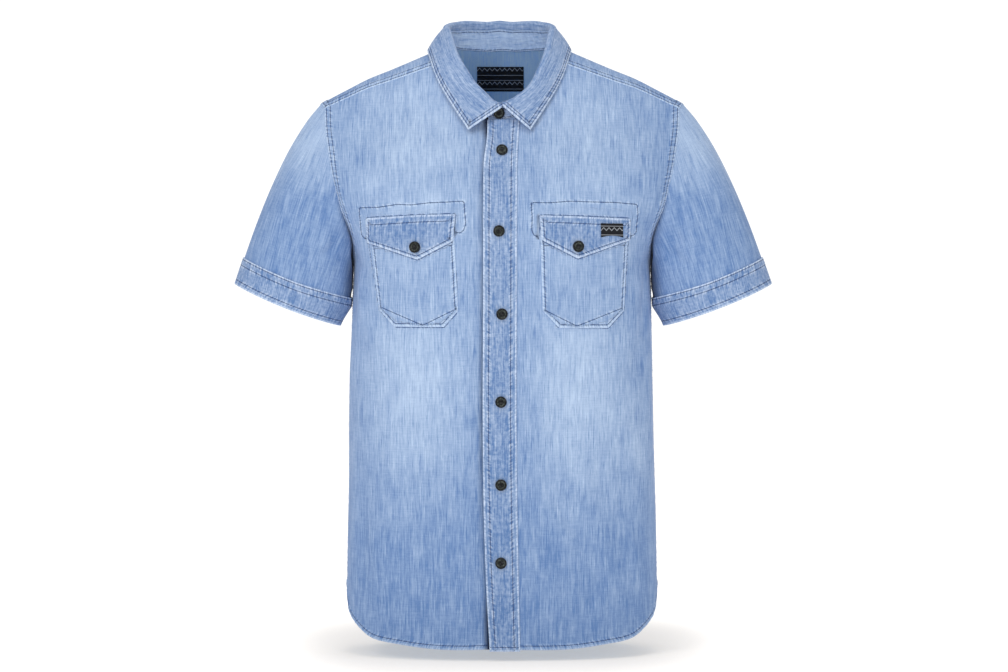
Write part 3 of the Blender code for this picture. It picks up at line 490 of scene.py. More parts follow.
def coons(left: Array, right: Array, bottom: Array, top: Array, across: Array,
          up: Optional[Array] = None) -> Array:
    """Fill the patch between four edges; left and right run upwards, bottom and top across."""
    up = (even(len(left) - 1) if up is None else up)[:, None, None]
    across = across[None, :, None]
    corners = ((1 - up) * (1 - across) * bottom[0] + (1 - up) * across * bottom[-1]
               + up * (1 - across) * top[0] + up * across * top[-1])
    return ((1 - up) * bottom[None] + up * top[None]
            + (1 - across) * left[:, None] + across * right[:, None] - corners)


def wash_of(spots: Sequence[FadeSpot], points: Array) -> Array:
    """How much a table of spots washes the cloth out at points."""
    x, z = points[..., 0], points[..., 2]
    return sum(spot.amount * bell(x - spot.x, spot.width) * bell(z - spot.z, spot.height) for spot in spots)


class Grain:
    """Cloth coordinates on the torso in millimetres, with the warp upright as it is cut."""

    def __init__(self) -> None:
        """Measure the skin along many upright and level lines."""
        self.turns = np.linspace(0, 2 * math.pi, 145)
        self.heights = np.linspace(TORSO[0].z, RIDGE[0].z, 160)
        points = skin(self.turns[:, None], self.heights[None, :])
        across, up = (np.cumsum(np.linalg.norm(np.diff(points, axis=axis), axis=-1), axis=axis)
                      for axis in (0, 1))
        self.across = np.concatenate([np.zeros_like(across[:1]), across])
        self.up = np.concatenate([np.zeros_like(up[:, :1]), up], axis=1)

    def read(self, measure: Array, turn: Array, z: Array) -> Array:
        """Read a measure between its grid points."""
        at = [np.clip((value - grid[0]) / (grid[1] - grid[0]), 0, len(grid) - 1.001)
              for value, grid in ((turn, self.turns), (z, self.heights))]
        (i, j), (part, rest) = zip(*((place.astype(int), place % 1) for place in at))
        low, high = (measure[i + step, j] * (1 - rest) + measure[i + step, j + 1] * rest for step in (0, 1))
        return low * (1 - part) + high * part

    def at(self, turn: Array, z: Array, centre: float) -> Array:
        """The cloth coordinates of torso points, measured across from an upright line at a turn."""
        away = self.read(self.across, np.abs(turn), z) - self.read(self.across, np.full_like(z, centre), z)
        return stacked(away * np.where(turn < 0, -1, 1), self.read(self.up, np.abs(turn), z))


# ================================================================ cloth as grids

FINE_CELLS = (0.5, 0.9, 1.2, 1.5, 1.5, 1.5, 1.5, 1.5, 2.0, 2.5)
FINE_ROOM = 2.2
ROW_SLACK = 0.2
EDGE_SAMPLE = 0.6
FAR = 1000.0
MARK_REACH = 9.0
MARK_OFFSET = 40.0
OUTLINE_SHADE_REACH = 3.4
OUTLINE_SHADE_OFFSET = 0.9
LAP_REACH = 3.0
LAP_SINK = 1.2
BUTT_REACH = 0.25
STEP_WIDTH = 1.4
DENT_WIDTH = 0.7
DENT_DEPTH = 0.28
PUCKER_LENGTH = 8.3
PUCKER_DRIFT = 31.0
PUCKER_SWAY = 1.9
PUCKER_EASE = 3.0
FOLD_RADIUS = 0.8
SHARP_ANGLE = math.radians(55)
CLOTH_GRIDS = ("points", "facing", "weave", "wash", "lift", "seam", "rows", "shade")


def graded(length: float, cells: int, near: bool = True, far: bool = True) -> Array:
    """Fractions of a length with fine cells at its ends and even ones between.

    Args:
        length: The whole length.
        cells: How many cells there are in all.
        near: Whether the start has the fine cells.
        far: Whether the end has them.

    Returns:
        Rising fractions from 0 to 1, one more than the cells.
    """
    fine = np.concatenate([[0.0], np.cumsum(FINE_CELLS)])
    middle = np.linspace(fine[-1] * near, length - fine[-1] * far,
                         cells - len(FINE_CELLS) * (near + far) + 1)
    first = fine[:-1] if near else []
    last = length - fine[-2::-1] if far else []
    return np.concatenate([first, middle, last]) / length


class Side(Enum):
    """The four sides of a grid of points, as the axis they end and their index on it."""
    BOTTOM = (0, 0)
    TOP = (0, -1)
    LEFT = (1, 0)
    RIGHT = (1, -1)


@dataclass(frozen=True)
class Welt:
    """How an edge is sewn: its stitch rows, its pucker, and its turned band's width and height."""
    rows: tuple[float, ...]
    pucker: float
    band: float = 0.0
    height: float = 0.0


@dataclass
class Edge:
    """A sewn stretch of one side of a sheet, and how far each of the sheet's points is from it."""
    side: Side
    part: slice
    welt: Welt
    distance: Array


@dataclass
class Sheet:
    """A piece of cloth: a grid of points with the way they face, its weave coordinates and its sewing.

    Points are in millimetres. A closed sheet is a tube whose last column meets its first.
    """
    node: str
    points: Array
    facing: Array
    weave: Array
    wash: Any
    closed: bool = False
    edges: list[Edge] = field(default_factory=list)
    lines: list[Stitches] = field(default_factory=list)

    def __post_init__(self) -> None:
        """Start with flat cloth that is far from any seam."""
        self.lift = np.zeros(self.points.shape[:2])
        # shade is painted shade: how far the finish darkens the colour toward its shadow colour where the
        # cloth lies in shadow
        self.shade = np.zeros_like(self.lift)
        self.wash = self.lift + self.wash
        self.seam = np.broadcast_to([0.0, FAR, 1.0], self.points.shape)
        self.rows = np.full(self.points.shape, FAR / 2)

    def outer(self) -> Array:
        """The outer points as they lie."""
        return self.points + self.facing * self.lift[..., None]

    def sew(self, welt: Welt, *sides: Side, part: slice = slice(None)) -> None:
        """Turn and sew some sides.

        Args:
            welt: How they are sewn.
            *sides: The sides, one after another.
            part: The stretch of their points.
        """
        for side in sides:
            axis, end = side.value
            line = np.take(self.points, end, axis)[part]
            if self.closed and axis == 0:
                line = np.concatenate([line, line[:1]])
            distance, along = nearest(self.points, line)
            self.edges.append(Edge(side, part, welt, distance))
            self.lift += welt.height * (1 - smoothstep((distance - welt.band) / STEP_WIDTH))
            for row in welt.rows:
                self.lift -= DENT_DEPTH * bell(distance - row, DENT_WIDTH)
            reach = max(welt.band, *welt.rows)
            sway = PUCKER_SWAY * np.sin(2 * np.pi * along / PUCKER_DRIFT)
            wave = np.sin(2 * np.pi * along / PUCKER_LENGTH + sway)
            self.lift += welt.pucker * wave * (1 - smoothstep((distance - reach) / PUCKER_EASE))
            close = 1 - np.clip(distance / FOLD_RADIUS, 0, 1)
            self.lift -= FOLD_RADIUS * (1 - np.sqrt(1 - close ** 2))
            self.tell(distance < self.seam[..., 1], (along, distance, reach), welt.rows)

    def mark(self, line: Array, reach: float = MARK_REACH, offset: float = 0.0) -> None:
        """Tell the cloth of a row across its middle; distances are signed about the row.

        Args:
            line: The row's points.
            reach: How far either side the cloth is told.
            offset: How far to the right of the line, on its way, the row lies.
        """
        run = lengths_along(line)
        distance, along = nearest(self.points, line)
        ahead = read_line(line, run, along + EDGE_SAMPLE) - read_line(line, run, along - EDGE_SAMPLE)
        away = self.points - read_line(line, run, along)
        side = np.sign(ahead[..., 0] * away[..., 2] - ahead[..., 2] * away[..., 0])
        is_beside = (along > EDGE_SAMPLE) & (along < run[-1] - EDGE_SAMPLE)
        self.tell(is_beside & (distance < np.minimum(self.seam[..., 1], reach)),
                  (along, MARK_OFFSET + side * distance, FAR / 2), (MARK_OFFSET - offset,))

    def tell(self, is_near: Array, seam: Sequence[Any], rows: Sequence[float]) -> None:
        """Give the cloth near some sewing its place by it: along, distance and reach, and its rows."""
        self.seam = np.where(is_near[..., None], stacked(*seam), self.seam)
        self.rows = np.where(is_near[..., None], (*rows, FAR / 2, FAR / 2)[:3], self.rows)

    def tuck(self, side: Side, part: slice = slice(None)) -> None:
        """Carry one side on beneath the piece that laps over a stretch of it.

        Args:
            side: The side to carry on.
            part: The stretch that is lapped over; the rest only butts.
        """
        axis, end = side.value
        lapped = np.zeros(self.points.shape[1 - axis], bool)
        lapped[part] = True
        lapped = np.expand_dims(lapped, axis)
        away = unit(np.take(self.points, [end], axis) - np.take(self.points, [-2 if end else 1], axis))
        moves = {"points": away * np.where(lapped, LAP_REACH, BUTT_REACH)[..., None],
                 "lift": -np.where(lapped, LAP_SINK, BUTT_REACH)}
        for name in CLOTH_GRIDS:
            grid = getattr(self, name)
            added = np.take(grid, [end], axis) + moves.get(name, 0)
            setattr(self, name, np.concatenate((grid, added) if end else (added, grid), axis=axis))

    def stitch(self) -> None:
        """Run lines of stitches along all that is sewn so far, as the cloth lies now."""
        for edge in self.edges:
            axis, end = edge.side.value
            mates = [other.distance[..., None] for other in self.edges
                     if other is not edge and other.welt is edge.welt]
            grid, distance = np.concatenate([self.outer(), self.facing, *mates], axis=-1), edge.distance
            if axis == 0:
                grid, distance = grid.transpose(1, 0, 2), distance.T
            if end:
                grid, distance = grid[:, ::-1], distance[:, ::-1]
            grid, distance = grid[edge.part], distance[edge.part]
            place = np.arange(len(distance))
            for row in edge.welt.rows:
                after = np.maximum(np.argmax(distance >= row, axis=1), 1)
                low, high = distance[place, after - 1], distance[place, after]
                part = np.clip((row - low) / np.maximum(high - low, 1e-9), 0, 1)[:, None]
                found = grid[place, after - 1] * (1 - part) + grid[place, after] * part
                found = found[np.all(found[:, 6:] >= row - ROW_SLACK, axis=1)]
                if self.closed and axis == 0:
                    found = np.concatenate([found, found[:1]])
                self.lines.append((found[:, :3], found[:, 3:6]))
        self.edges.clear()

    def build(self, thickness: float, material: bpy.types.Material) -> bpy.types.Object:
        """Make the piece, one closed skin round the cloth's thickness.

        Args:
            thickness: How thick the cloth is.
            material: Its finish.

        Returns:
            The new object.
        """
        rows, columns = self.points.shape[:2]
        outer = self.outer()
        inner = outer - self.facing * thickness
        down, across = (index.ravel() for index in np.indices((rows - 1, columns - 1 + self.closed)))
        r, c = stacked(down, down, down + 1, down + 1), stacked(across, across + 1, across + 1, across)
        blocks = [(r, c, np.zeros_like(r)), (r[:, ::-1], c[:, ::-1], np.ones_like(r))]
        through = np.array([0, 0, 1, 1])
        cells = np.arange(columns - 1 + self.closed)
        for row, start, stop in ((0, cells + 1, cells), (rows - 1, cells, cells + 1)):
            blocks.append(np.broadcast_arrays(row, stacked(start, stop, stop, start), through))
        cells = np.arange(0 if self.closed else rows - 1)
        for col, start, stop in ((0, cells, cells + 1), (columns - 1, cells + 1, cells)):
            blocks.append(np.broadcast_arrays(stacked(start, stop, stop, start), col, through))
        r, c, layer = (np.concatenate(parts) for parts in zip(*blocks))
        i, j = rows // 2, columns // 2
        if np.cross(outer[i, j + 1] - outer[i, j], outer[i + 1, j] - outer[i, j]) @ self.facing[i, j] < 0:
            r, c, layer = r[:, ::-1], c[:, ::-1], layer[:, ::-1]
        vertices = np.concatenate([outer.reshape(-1, 3), inner.reshape(-1, 3)]) * MM
        mesh = bpy.data.meshes.new(f"{self.node}_cloth")
        faces = layer * rows * columns + r * columns + c % columns
        mesh.from_pydata(vertices.tolist(), [], faces.tolist())
        weave, seam, sewn, wash, shade = (self.round_off(grid)[r, c].reshape(r.size, -1) for grid in (
            self.weave, self.seam, self.rows, self.wash, self.shade))
        mesh.uv_layers.new(name="weave").data.foreach_set("uv", (weave * MM).astype(np.float32).ravel())
        # The cloth attribute holds the wash, whether the face is inside, and the painted shade
        cloth = np.concatenate([wash, layer.reshape(-1, 1), shade], axis=1)
        for name, values in (("seam", seam), ("rows", sewn), ("cloth", cloth)):
            attribute = mesh.attributes.new(name, "FLOAT_VECTOR", "CORNER")
            attribute.data.foreach_set("vector", values.astype(np.float32).ravel())
        mesh.shade_smooth()
        mesh.set_sharp_from_angle(angle=SHARP_ANGLE)
        mesh.materials.append(material)
        return add_object(mesh.name, mesh)

    def round_off(self, grid: Array) -> Array:
        """A tube's values with a last column that carries on from the one before."""
        if not self.closed or grid.shape[1] > self.points.shape[1]:
            return grid
        return np.concatenate([grid, grid[:, :1]], axis=1)

    def cut(self) -> tuple[float, float, float]:
        """Width, length and area of the flat cloth that shows, in metres."""
        points = self.round_off(self.points)
        across, up = (np.linalg.norm(np.diff(points, axis=axis), axis=-1) for axis in (1, 0))
        sides = np.cross(points[1:, :-1] - points[:-1, :-1], points[:-1, 1:] - points[:-1, :-1])
        area = np.linalg.norm(sides, axis=-1).sum() * MM * MM
        width, length = across.sum(axis=1).max() * MM, up.sum(axis=0).max() * MM
        return float(width), float(length), float(min(area, width * length))


def nearest(points: Array, line: Array) -> tuple[Array, Array]:
    """How far points are from a line, and how far along it the nearest place is."""
    run = lengths_along(line)
    places = np.arange(0, run[-1] + EDGE_SAMPLE, EDGE_SAMPLE)
    tree = KDTree(len(places))
    for index, place in enumerate(read_line(line, run, places).tolist()):
        tree.insert(place, index)
    tree.balance()
    index, distance = np.array([tree.find(point)[1:] for point in points.reshape(-1, 3).tolist()]).T
    return distance.reshape(points.shape[:-1]), places[index.astype(int)].reshape(points.shape[:-1])


def add_object(name: str, mesh: bpy.types.Mesh) -> bpy.types.Object:
    """Put a mesh in the scene."""
    piece = bpy.data.objects.new(name, mesh)
    bpy.context.scene.collection.objects.link(piece)
    return piece


def grid_normals(points: Array) -> Array:
    """Unit normals of a tube's grid, pointing away from the middle of each of its rows."""
    facing = unit(np.cross(np.roll(points, -1, 1) - np.roll(points, 1, 1), np.gradient(points, axis=0)))
    return facing * np.sign(np.mean(dot(facing, points - points.mean(axis=1, keepdims=True))))


def between(top: Outline, bottom: Outline, cells: Sequence[int], rows: int) -> Array:
    """A grid of (x, z) between two outlines, with a column through each of their corners.

    Args:
        top: The upper outline's corners.
        bottom: The lower outline's corners, as many.
        cells: How many cells lie between each pair of corners.
        rows: How many cells there are from the top to the bottom.

    Returns:
        The grid, from the bottom row up, with finer cells at its sides and ends.
    """
    parts = [np.zeros(1)]
    for index, count in enumerate(cells):
        is_first, is_last = index == 0, index == len(cells) - 1
        room = FINE_ROOM * sum(FINE_CELLS) * (is_first + is_last)
        length = max(abs(bottom[index + 1][0] - bottom[index][0]), room)
        parts.append(index + graded(length, count, near=is_first, far=is_last)[1:])
    across = np.concatenate(parts)
    upper, lower = (read_line(np.array(line, float), np.arange(len(top)), across) for line in (top, bottom))
    up = graded(float(np.abs(upper - lower)[:, 1].mean()), rows)[:, None, None]
    return lower[None] * (1 - up) + upper[None] * up


# ================================================================ materials

def srgb(red: float, green: float, blue: float) -> tuple[float, float, float, float]:
    """A shader colour from 0 to 255 screen values."""
    parts = [value / 255 for value in (red, green, blue)]
    linear = [part / 12.92 if part <= 0.04045 else ((part + 0.055) / 1.055) ** 2.4 for part in parts]
    return (linear[0], linear[1], linear[2], 1.0)


class Socket:
    """An output in a node tree that ordinary sums work on."""

    def __init__(self, graph: "Graph", output: bpy.types.NodeSocket) -> None:
        """Hold an output of a node."""
        self.graph = graph
        self.output = output

    def math(self, operation: str, *others: Any, clamp: bool = False) -> "Socket":
        """A Math node on this value and others."""
        inputs = dict(enumerate((self, *others)))
        return self.graph.node("Math", inputs, operation=operation, use_clamp=clamp)

    def __add__(self, other: Any) -> "Socket":
        """Sum."""
        return self.math("ADD", other)

    def __mul__(self, other: Any) -> "Socket":
        """Product."""
        return self.math("MULTIPLY", other)

    def __sub__(self, other: Any) -> "Socket":
        """Difference."""
        return self.math("SUBTRACT", other)

    def __truediv__(self, other: Any) -> "Socket":
        """Quotient."""
        return self.math("DIVIDE", other)

    def __mod__(self, other: Any) -> "Socket":
        """Remainder."""
        return self.math("MODULO", other)

    def __or__(self, other: Any) -> "Socket":
        """The larger of two values."""
        return self.math("MAXIMUM", other)

    def __abs__(self) -> "Socket":
        """The value without its sign."""
        return self.math("ABSOLUTE")

    def __rsub__(self, other: Any) -> "Socket":
        """Difference from a number."""
        return self.graph.node("Math", {0: other, 1: self}, operation="SUBTRACT")

    __radd__ = __add__
    __rmul__ = __mul__

    def step(self, low: Any, high: Any) -> "Socket":
        """Ease from 0 at one value to 1 at another."""
        return self.graph.node("MapRange", {"Value": self, "From Min": low, "From Max": high},
                               interpolation_type="SMOOTHSTEP")

    def bell(self, width: float) -> "Socket":
        """1 where the value is 0, easing to 0 at a width either side."""
        return 1 - abs(self).step(0.0, width)

    def clamped(self) -> "Socket":
        """Keep the value from 0 to 1."""
        return self.math("ADD", 0.0, clamp=True)

    def scaled(self, factors: tuple[float, float, float]) -> "Socket":
        """Scale a vector along its axes."""
        return self.graph.node("VectorMath", {0: self, 1: factors}, operation="MULTIPLY")

    def split(self) -> tuple["Socket", "Socket", "Socket"]:
        """A vector's three parts."""
        parts = self.graph.add("SeparateXYZ", {"Vector": self})
        return tuple(Socket(self.graph, parts.outputs[name]) for name in "XYZ")


class Graph:
    """Builds a material's nodes."""

    def __init__(self, name: str) -> None:
        """Start a material with an empty shader."""
        self.material = bpy.data.materials.new(name)
        self.material.use_nodes = True
        self.tree = self.material.node_tree
        self.shader = self.tree.nodes["Principled BSDF"]

    def add(self, kind: str, inputs: Optional[dict[Any, Any]] = None, **settings: Any) -> bpy.types.Node:
        """Add a node.

        Args:
            kind: The node's type, without its ShaderNode prefix.
            inputs: Values or sockets for its inputs, by name or number.
            **settings: Its properties.

        Returns:
            The node.
        """
        node = self.tree.nodes.new(f"ShaderNode{kind}")
        for name, value in settings.items():
            setattr(node, name, value)
        for key, value in (inputs or {}).items():
            self.put(node.inputs[key], value)
        return node

    def node(self, kind: str, inputs: Optional[dict[Any, Any]] = None, output: Any = 0,
             **settings: Any) -> Socket:
        """Add a node and hand back one of its outputs."""
        return Socket(self, self.add(kind, inputs, **settings).outputs[output])

    def put(self, target: bpy.types.NodeSocket, value: Any) -> None:
        """Link or set an input."""
        if isinstance(value, Socket):
            self.tree.links.new(value.output, target)
        else:
            target.default_value = value

    def attribute(self, name: str) -> tuple[Socket, Socket, Socket]:
        """The three parts of a named attribute."""
        return self.node("Attribute", output="Vector", attribute_name=name).split()

    def weave(self) -> Socket:
        """The piece's own weave coordinates, in millimetres."""
        return self.node("UVMap", output="UV", uv_map="weave").scaled((1 / MM, 1 / MM, 1 / MM))

    def place(self) -> Socket:
        """Object coordinates."""
        return self.node("TexCoord", output="Object")

    def noise(self, vector: Socket, scale: tuple[float, float, float], detail: float = 2.0) -> Socket:
        """Noise from 0 to 1 over scaled coordinates."""
        return self.node("TexNoise", {"Vector": vector.scaled(scale), "Scale": 1.0, "Detail": detail},
                         noise_dimensions="3D")

    def mix(self, factor: Any, first: Any, second: Any) -> Socket:
        """A mix of two colours."""
        return self.node("Mix", {0: factor, 6: first, 7: second}, output=2, data_type="RGBA")

    def surface(self, **inputs: Any) -> bpy.types.Material:
        """Set the shader's inputs, underscores standing for spaces, and hand over the material."""
        for name, value in inputs.items():
            self.put(self.shader.inputs[name.replace("_", " ")], value)
        return self.material

    def bump(self, height_mm: Socket) -> Socket:
        """A normal from a height in millimetres."""
        return self.node("Bump", {"Height": height_mm, "Distance": MM, "Strength": 1.0}, output="Normal")


@dataclass(frozen=True)
class Denim:
    """Washed denim: its colours, and how strongly its sewing has puckered and worn."""
    name: str
    deep: Colour
    faded: Colour
    # inside and inside_deep: the denim's paler back, brightened further with painted light that stands in
    # for light falling inside the shirt
    inside: Colour
    inside_deep: Colour
    # groove: dark stitch rows, darker cloth with painted shade in the dent; along the outline marks round
    # the pockets and flaps it is a painted shadow
    groove: Colour
    pucker: float
    worn: float
    crumple: float
    # shadow: the colour of the painted shade that the cloth attribute mixes in
    shadow: Colour = (24, 34, 62)
    roughness: float = 0.92
    sheen: float = 0.12
    specular: float = 0.2
    twill_pitch: float = 1.1
    sewn_reach: float = 4.0
    groove_reach: float = 1.05
    ditch_reach: float = 1.3
    edge_worn: tuple[float, float] = (1.2, 2.9)

    def material(self) -> bpy.types.Material:
        """Slubs along the warp, blotches, and puckers and worn edges along the sewing, with painted shade in
        the stitch grooves, at the bands' edges and where the cloth attribute asks for it, and an inside
        brightened with painted light.
        """
        graph = Graph(self.name)
        weave = graph.weave()
        along, distance, band = graph.attribute("seam")
        rows = graph.attribute("rows")[:2]
        wash, inner, shade = graph.attribute("cloth")
        across, up, _ = weave.split()

        slub = graph.noise(weave, (0.75, 0.034, 1.0), detail=2.5)
        streak = graph.noise(weave, (0.17, 0.018, 4.0))
        dark_yarn = graph.noise(weave, (0.62, 0.045, 3.0), detail=1.5).step(0.54, 0.78)
        pale_yarn = graph.noise(weave, (0.65, 0.06, 7.0), detail=1.5).step(0.56, 0.76)
        weft = graph.noise(weave, (0.05, 0.7, 5.0), detail=1.5)
        blotch = graph.noise(weave, (0.04, 0.024, 1.0), detail=3.0)
        fleck = graph.noise(weave, (1.4, 0.8, 1.0))
        ripple = graph.noise(weave, (0.055, 0.03, 2.0))
        crumple = graph.noise(weave, (0.3, 0.2, 9.0), detail=3.0)
        twill = ((across + up) * (2 * math.pi / self.twill_pitch)).math("SINE")
        patterns = ((slub, 1.05), (streak, 0.5), (weft, 0.3), (blotch, 0.42), (fleck, 0.3),
                    (crumple, self.crumple))
        cloth = sum((pattern - 0.5) * amount for pattern, amount in patterns)
        cloth = cloth - dark_yarn * 0.3 + pale_yarn * 0.2 + twill * 0.02

        slanted = graph.node("CombineXYZ", {0: along + distance * 0.5, 1: distance})
        crest = graph.noise(slanted, (0.36, 0.06, 0.0)).step(0.34, 0.66)
        first, second = (distance - row for row in rows)
        sewn = first.bell(self.sewn_reach) | second.bell(self.sewn_reach)
        groove = first.bell(self.groove_reach) | second.bell(self.groove_reach)
        edge = (1 - distance.step(*self.edge_worn)) * (0.35 + crest * 0.95)
        # The ditch term is painted shade: darker where each turned band steps down to the cloth
        worked = (sewn * ((crest - 0.24) * self.pucker) - (distance - band).bell(self.ditch_reach) * 0.08
                  + edge * self.worn)

        colour = graph.mix((cloth + wash + worked).clamped(), srgb(*self.deep), srgb(*self.faded))
        # The inside: the paler back of the denim, brightened with painted light by the added 0.44 and the
        # light inside colours
        lit_lining = graph.mix((cloth + (worked - edge * self.worn) * 0.5 + 0.44).clamped(),
                           srgb(*self.inside_deep), srgb(*self.inside))
        colour = graph.mix(inner, colour, lit_lining)
        # Dark stitch rows: partly painted shade in the dent, and a painted shadow along the outline marks
        colour = graph.mix(groove * (1.05 - crest * 0.4), colour, srgb(*self.groove))
        # Painted shade from the cloth attribute: the colour is mixed toward the shadow colour
        colour = graph.mix(shade, colour, srgb(*self.shadow))
        height = (sewn * crest * 0.5 + crumple * self.crumple * 0.9 + slub * 0.09 + fleck * 0.04
                  + twill * 0.02 + ripple * 1.1 - groove * 0.1)
        return graph.surface(Base_Color=colour, Roughness=self.roughness, Normal=graph.bump(height),
                             Sheen_Weight=self.sheen, Specular_IOR_Level=self.specular)


@dataclass(frozen=True)
class Thread:
    """Dark indigo sewing thread, worn paler here and there."""
    dark: Colour = (44, 62, 100)
    pale: Colour = (78, 100, 142)
    grain: float = 220.0
    roughness: float = 0.8
    specular: float = 0.25

    def material(self) -> bpy.types.Material:
        """The thread's material."""
        graph = Graph("thread")
        worn = graph.noise(graph.place(), (self.grain, self.grain, self.grain), detail=1.0).step(0.35, 0.7)
        return graph.surface(Base_Color=graph.mix(worn, srgb(*self.dark), srgb(*self.pale)),
                             Roughness=self.roughness, Specular_IOR_Level=self.specular)


@dataclass(frozen=True)
class WovenLabel:
    """Dark woven satin with a plain zigzag band between two rules."""
    pitch: float = 3.2
    height: float = 3.6
    repeat: float = 17.0
    rule_offset: float = 5.4
    rib_pitch: float = 0.55
    ground: tuple[Colour, Colour] = ((17, 18, 22), (34, 36, 42))
    pale: Colour = (176, 182, 190)
    roughness: float = 0.85
    specular: float = 0.2

    def material(self) -> bpy.types.Material:
        """The label's material."""
        graph = Graph("woven_label")
        place = graph.weave()
        across, up, _ = place.split()
        zigzag = (across / self.pitch).math("PINGPONG", 1.0) * self.height
        rib = (across * (2 * math.pi / self.rib_pitch)).math("SINE")
        band = 1 - abs((up - zigzag) % self.repeat - self.repeat / 2).step(0.45, 0.8)
        rules = 1 - abs(abs(up % self.repeat - self.repeat / 2) - self.rule_offset).step(0.2, 0.45)
        ground = graph.mix(graph.noise(place, (2.2, 3.0, 1.0)), *(srgb(*colour) for colour in self.ground))
        colour = graph.mix(((band | rules) * 0.75).clamped(), ground, srgb(*self.pale))
        return graph.surface(Base_Color=colour, Roughness=self.roughness, Specular_IOR_Level=self.specular,
                             Normal=graph.bump(rib * 0.05 + band * 0.06))


@dataclass(frozen=True)
class Gunmetal:
    """Cast gunmetal, rubbed paler here and there."""
    name: str
    dark: Colour
    worn: Colour
    roughness: float
    metallic: float = 0.85
    rub: float = 420.0
    grit: float = 2600.0

    def material(self) -> bpy.types.Material:
        """The metal's material."""
        graph = Graph(self.name)
        rubbed = graph.noise(graph.place(), (self.rub, self.rub, self.rub), detail=4.0)
        grit = graph.noise(graph.place(), (self.grit, self.grit, self.grit))
        colour = graph.mix(rubbed.step(0.4, 0.72), srgb(*self.dark), srgb(*self.worn))
        return graph.surface(Base_Color=colour, Metallic=self.metallic,
                             Roughness=rubbed * 0.2 + self.roughness,
                             Normal=graph.bump(grit * 0.03 + rubbed * 0.05))


@dataclass(frozen=True)
class FloorWhite:
    """A plain glowing white, with a painted shadow about the hem where it is greyer and a little warmer;
    sizes are in metres.
    """
    glow: float = 0.8
    shade: float = 0.5
    width: float = 0.31
    back: float = 0.06
    depth: float = 0.46

    def material(self) -> bpy.types.Material:
        """The floor's material."""
        graph = Graph("floor_white")
        x, y, _ = graph.place().split()
        # The painted shadow: the glow dims, a little warmer, in a soft oval under the shirt
        across, away = x / self.width, (y - self.back) / self.depth
        spread = (across * across) * (across * across) + away * away
        light = graph.mix(spread.bell(1.0) * self.shade, (1.0, 0.985, 0.965, 1.0), (0.0, 0.0, 0.0, 1.0))
        return graph.surface(Base_Color=(0.6, 0.57, 0.54, 1.0), Roughness=1.0, Specular_IOR_Level=0.0,
                             Emission_Color=light, Emission_Strength=self.glow)


# ================================================================ sewing and buttons

@dataclass
class Stitcher:
    """Copies one stitch along lines on the cloth."""
    material: bpy.types.Material
    pitch: float = 3.1
    length: float = 2.3
    width: float = 0.8
    height: float = 0.6

    def __post_init__(self) -> None:
        """Model the stitch that is copied."""
        bpy.ops.object.select_all(action="DESELECT")
        bpy.ops.mesh.primitive_ico_sphere_add(subdivisions=1, radius=0.5)
        stitch = bpy.context.active_object
        stitch.scale = (self.length, self.width, self.height)
        bpy.ops.object.transform_apply(location=False, rotation=False, scale=True)
        self.shape = np.array([vertex.co[:] for vertex in stitch.data.vertices])
        self.faces = np.array([face.vertices[:] for face in stitch.data.polygons])
        bpy.data.objects.remove(stitch, do_unlink=True)

    def sew(self, name: str, lines: Sequence[Stitches]) -> bpy.types.Object:
        """Make all the stitches of one piece.

        Args:
            name: The stitches' name.
            lines: Points of each line and the way the cloth faces there.

        Returns:
            The new object.
        """
        placed = []
        for line, facing in lines:
            run = lengths_along(line)
            at = np.arange(self.pitch / 2, run[-1], self.pitch)
            ahead = unit(read_line(line, run, at + 0.5) - read_line(line, run, at - 0.5))
            aside = unit(np.cross(unit(read_line(facing, run, at)), ahead))
            axes = np.stack([ahead, aside, np.cross(ahead, aside)], axis=1)
            placed.append(read_line(line, run, at)[:, None] + np.einsum("vk,nkx->nvx", self.shape, axes))
        places = np.concatenate(placed)
        steps = np.arange(len(places))[:, None, None] * len(self.shape)
        mesh = bpy.data.meshes.new(name)
        mesh.from_pydata((places.reshape(-1, 3) * MM).tolist(), [],
                         (self.faces[None] + steps).reshape(-1, 3).tolist())
        mesh.shade_smooth()
        mesh.materials.append(self.material)
        return add_object(name, mesh)


class ButtonStep(NamedTuple):
    """One step in over the button's face: how far in, and how far up."""
    inset: float
    rise: float


BUTTON_STEPS = table(
    ButtonStep,
    (0.5, 0.55), (0.75, 0.15), (0.55, -0.45), (0.3, -0.35), (1.15, 0.12), (0.35, -0.15), (0.45, -0.75),
    (1.6, -0.1), (0.25, 0.45),
)


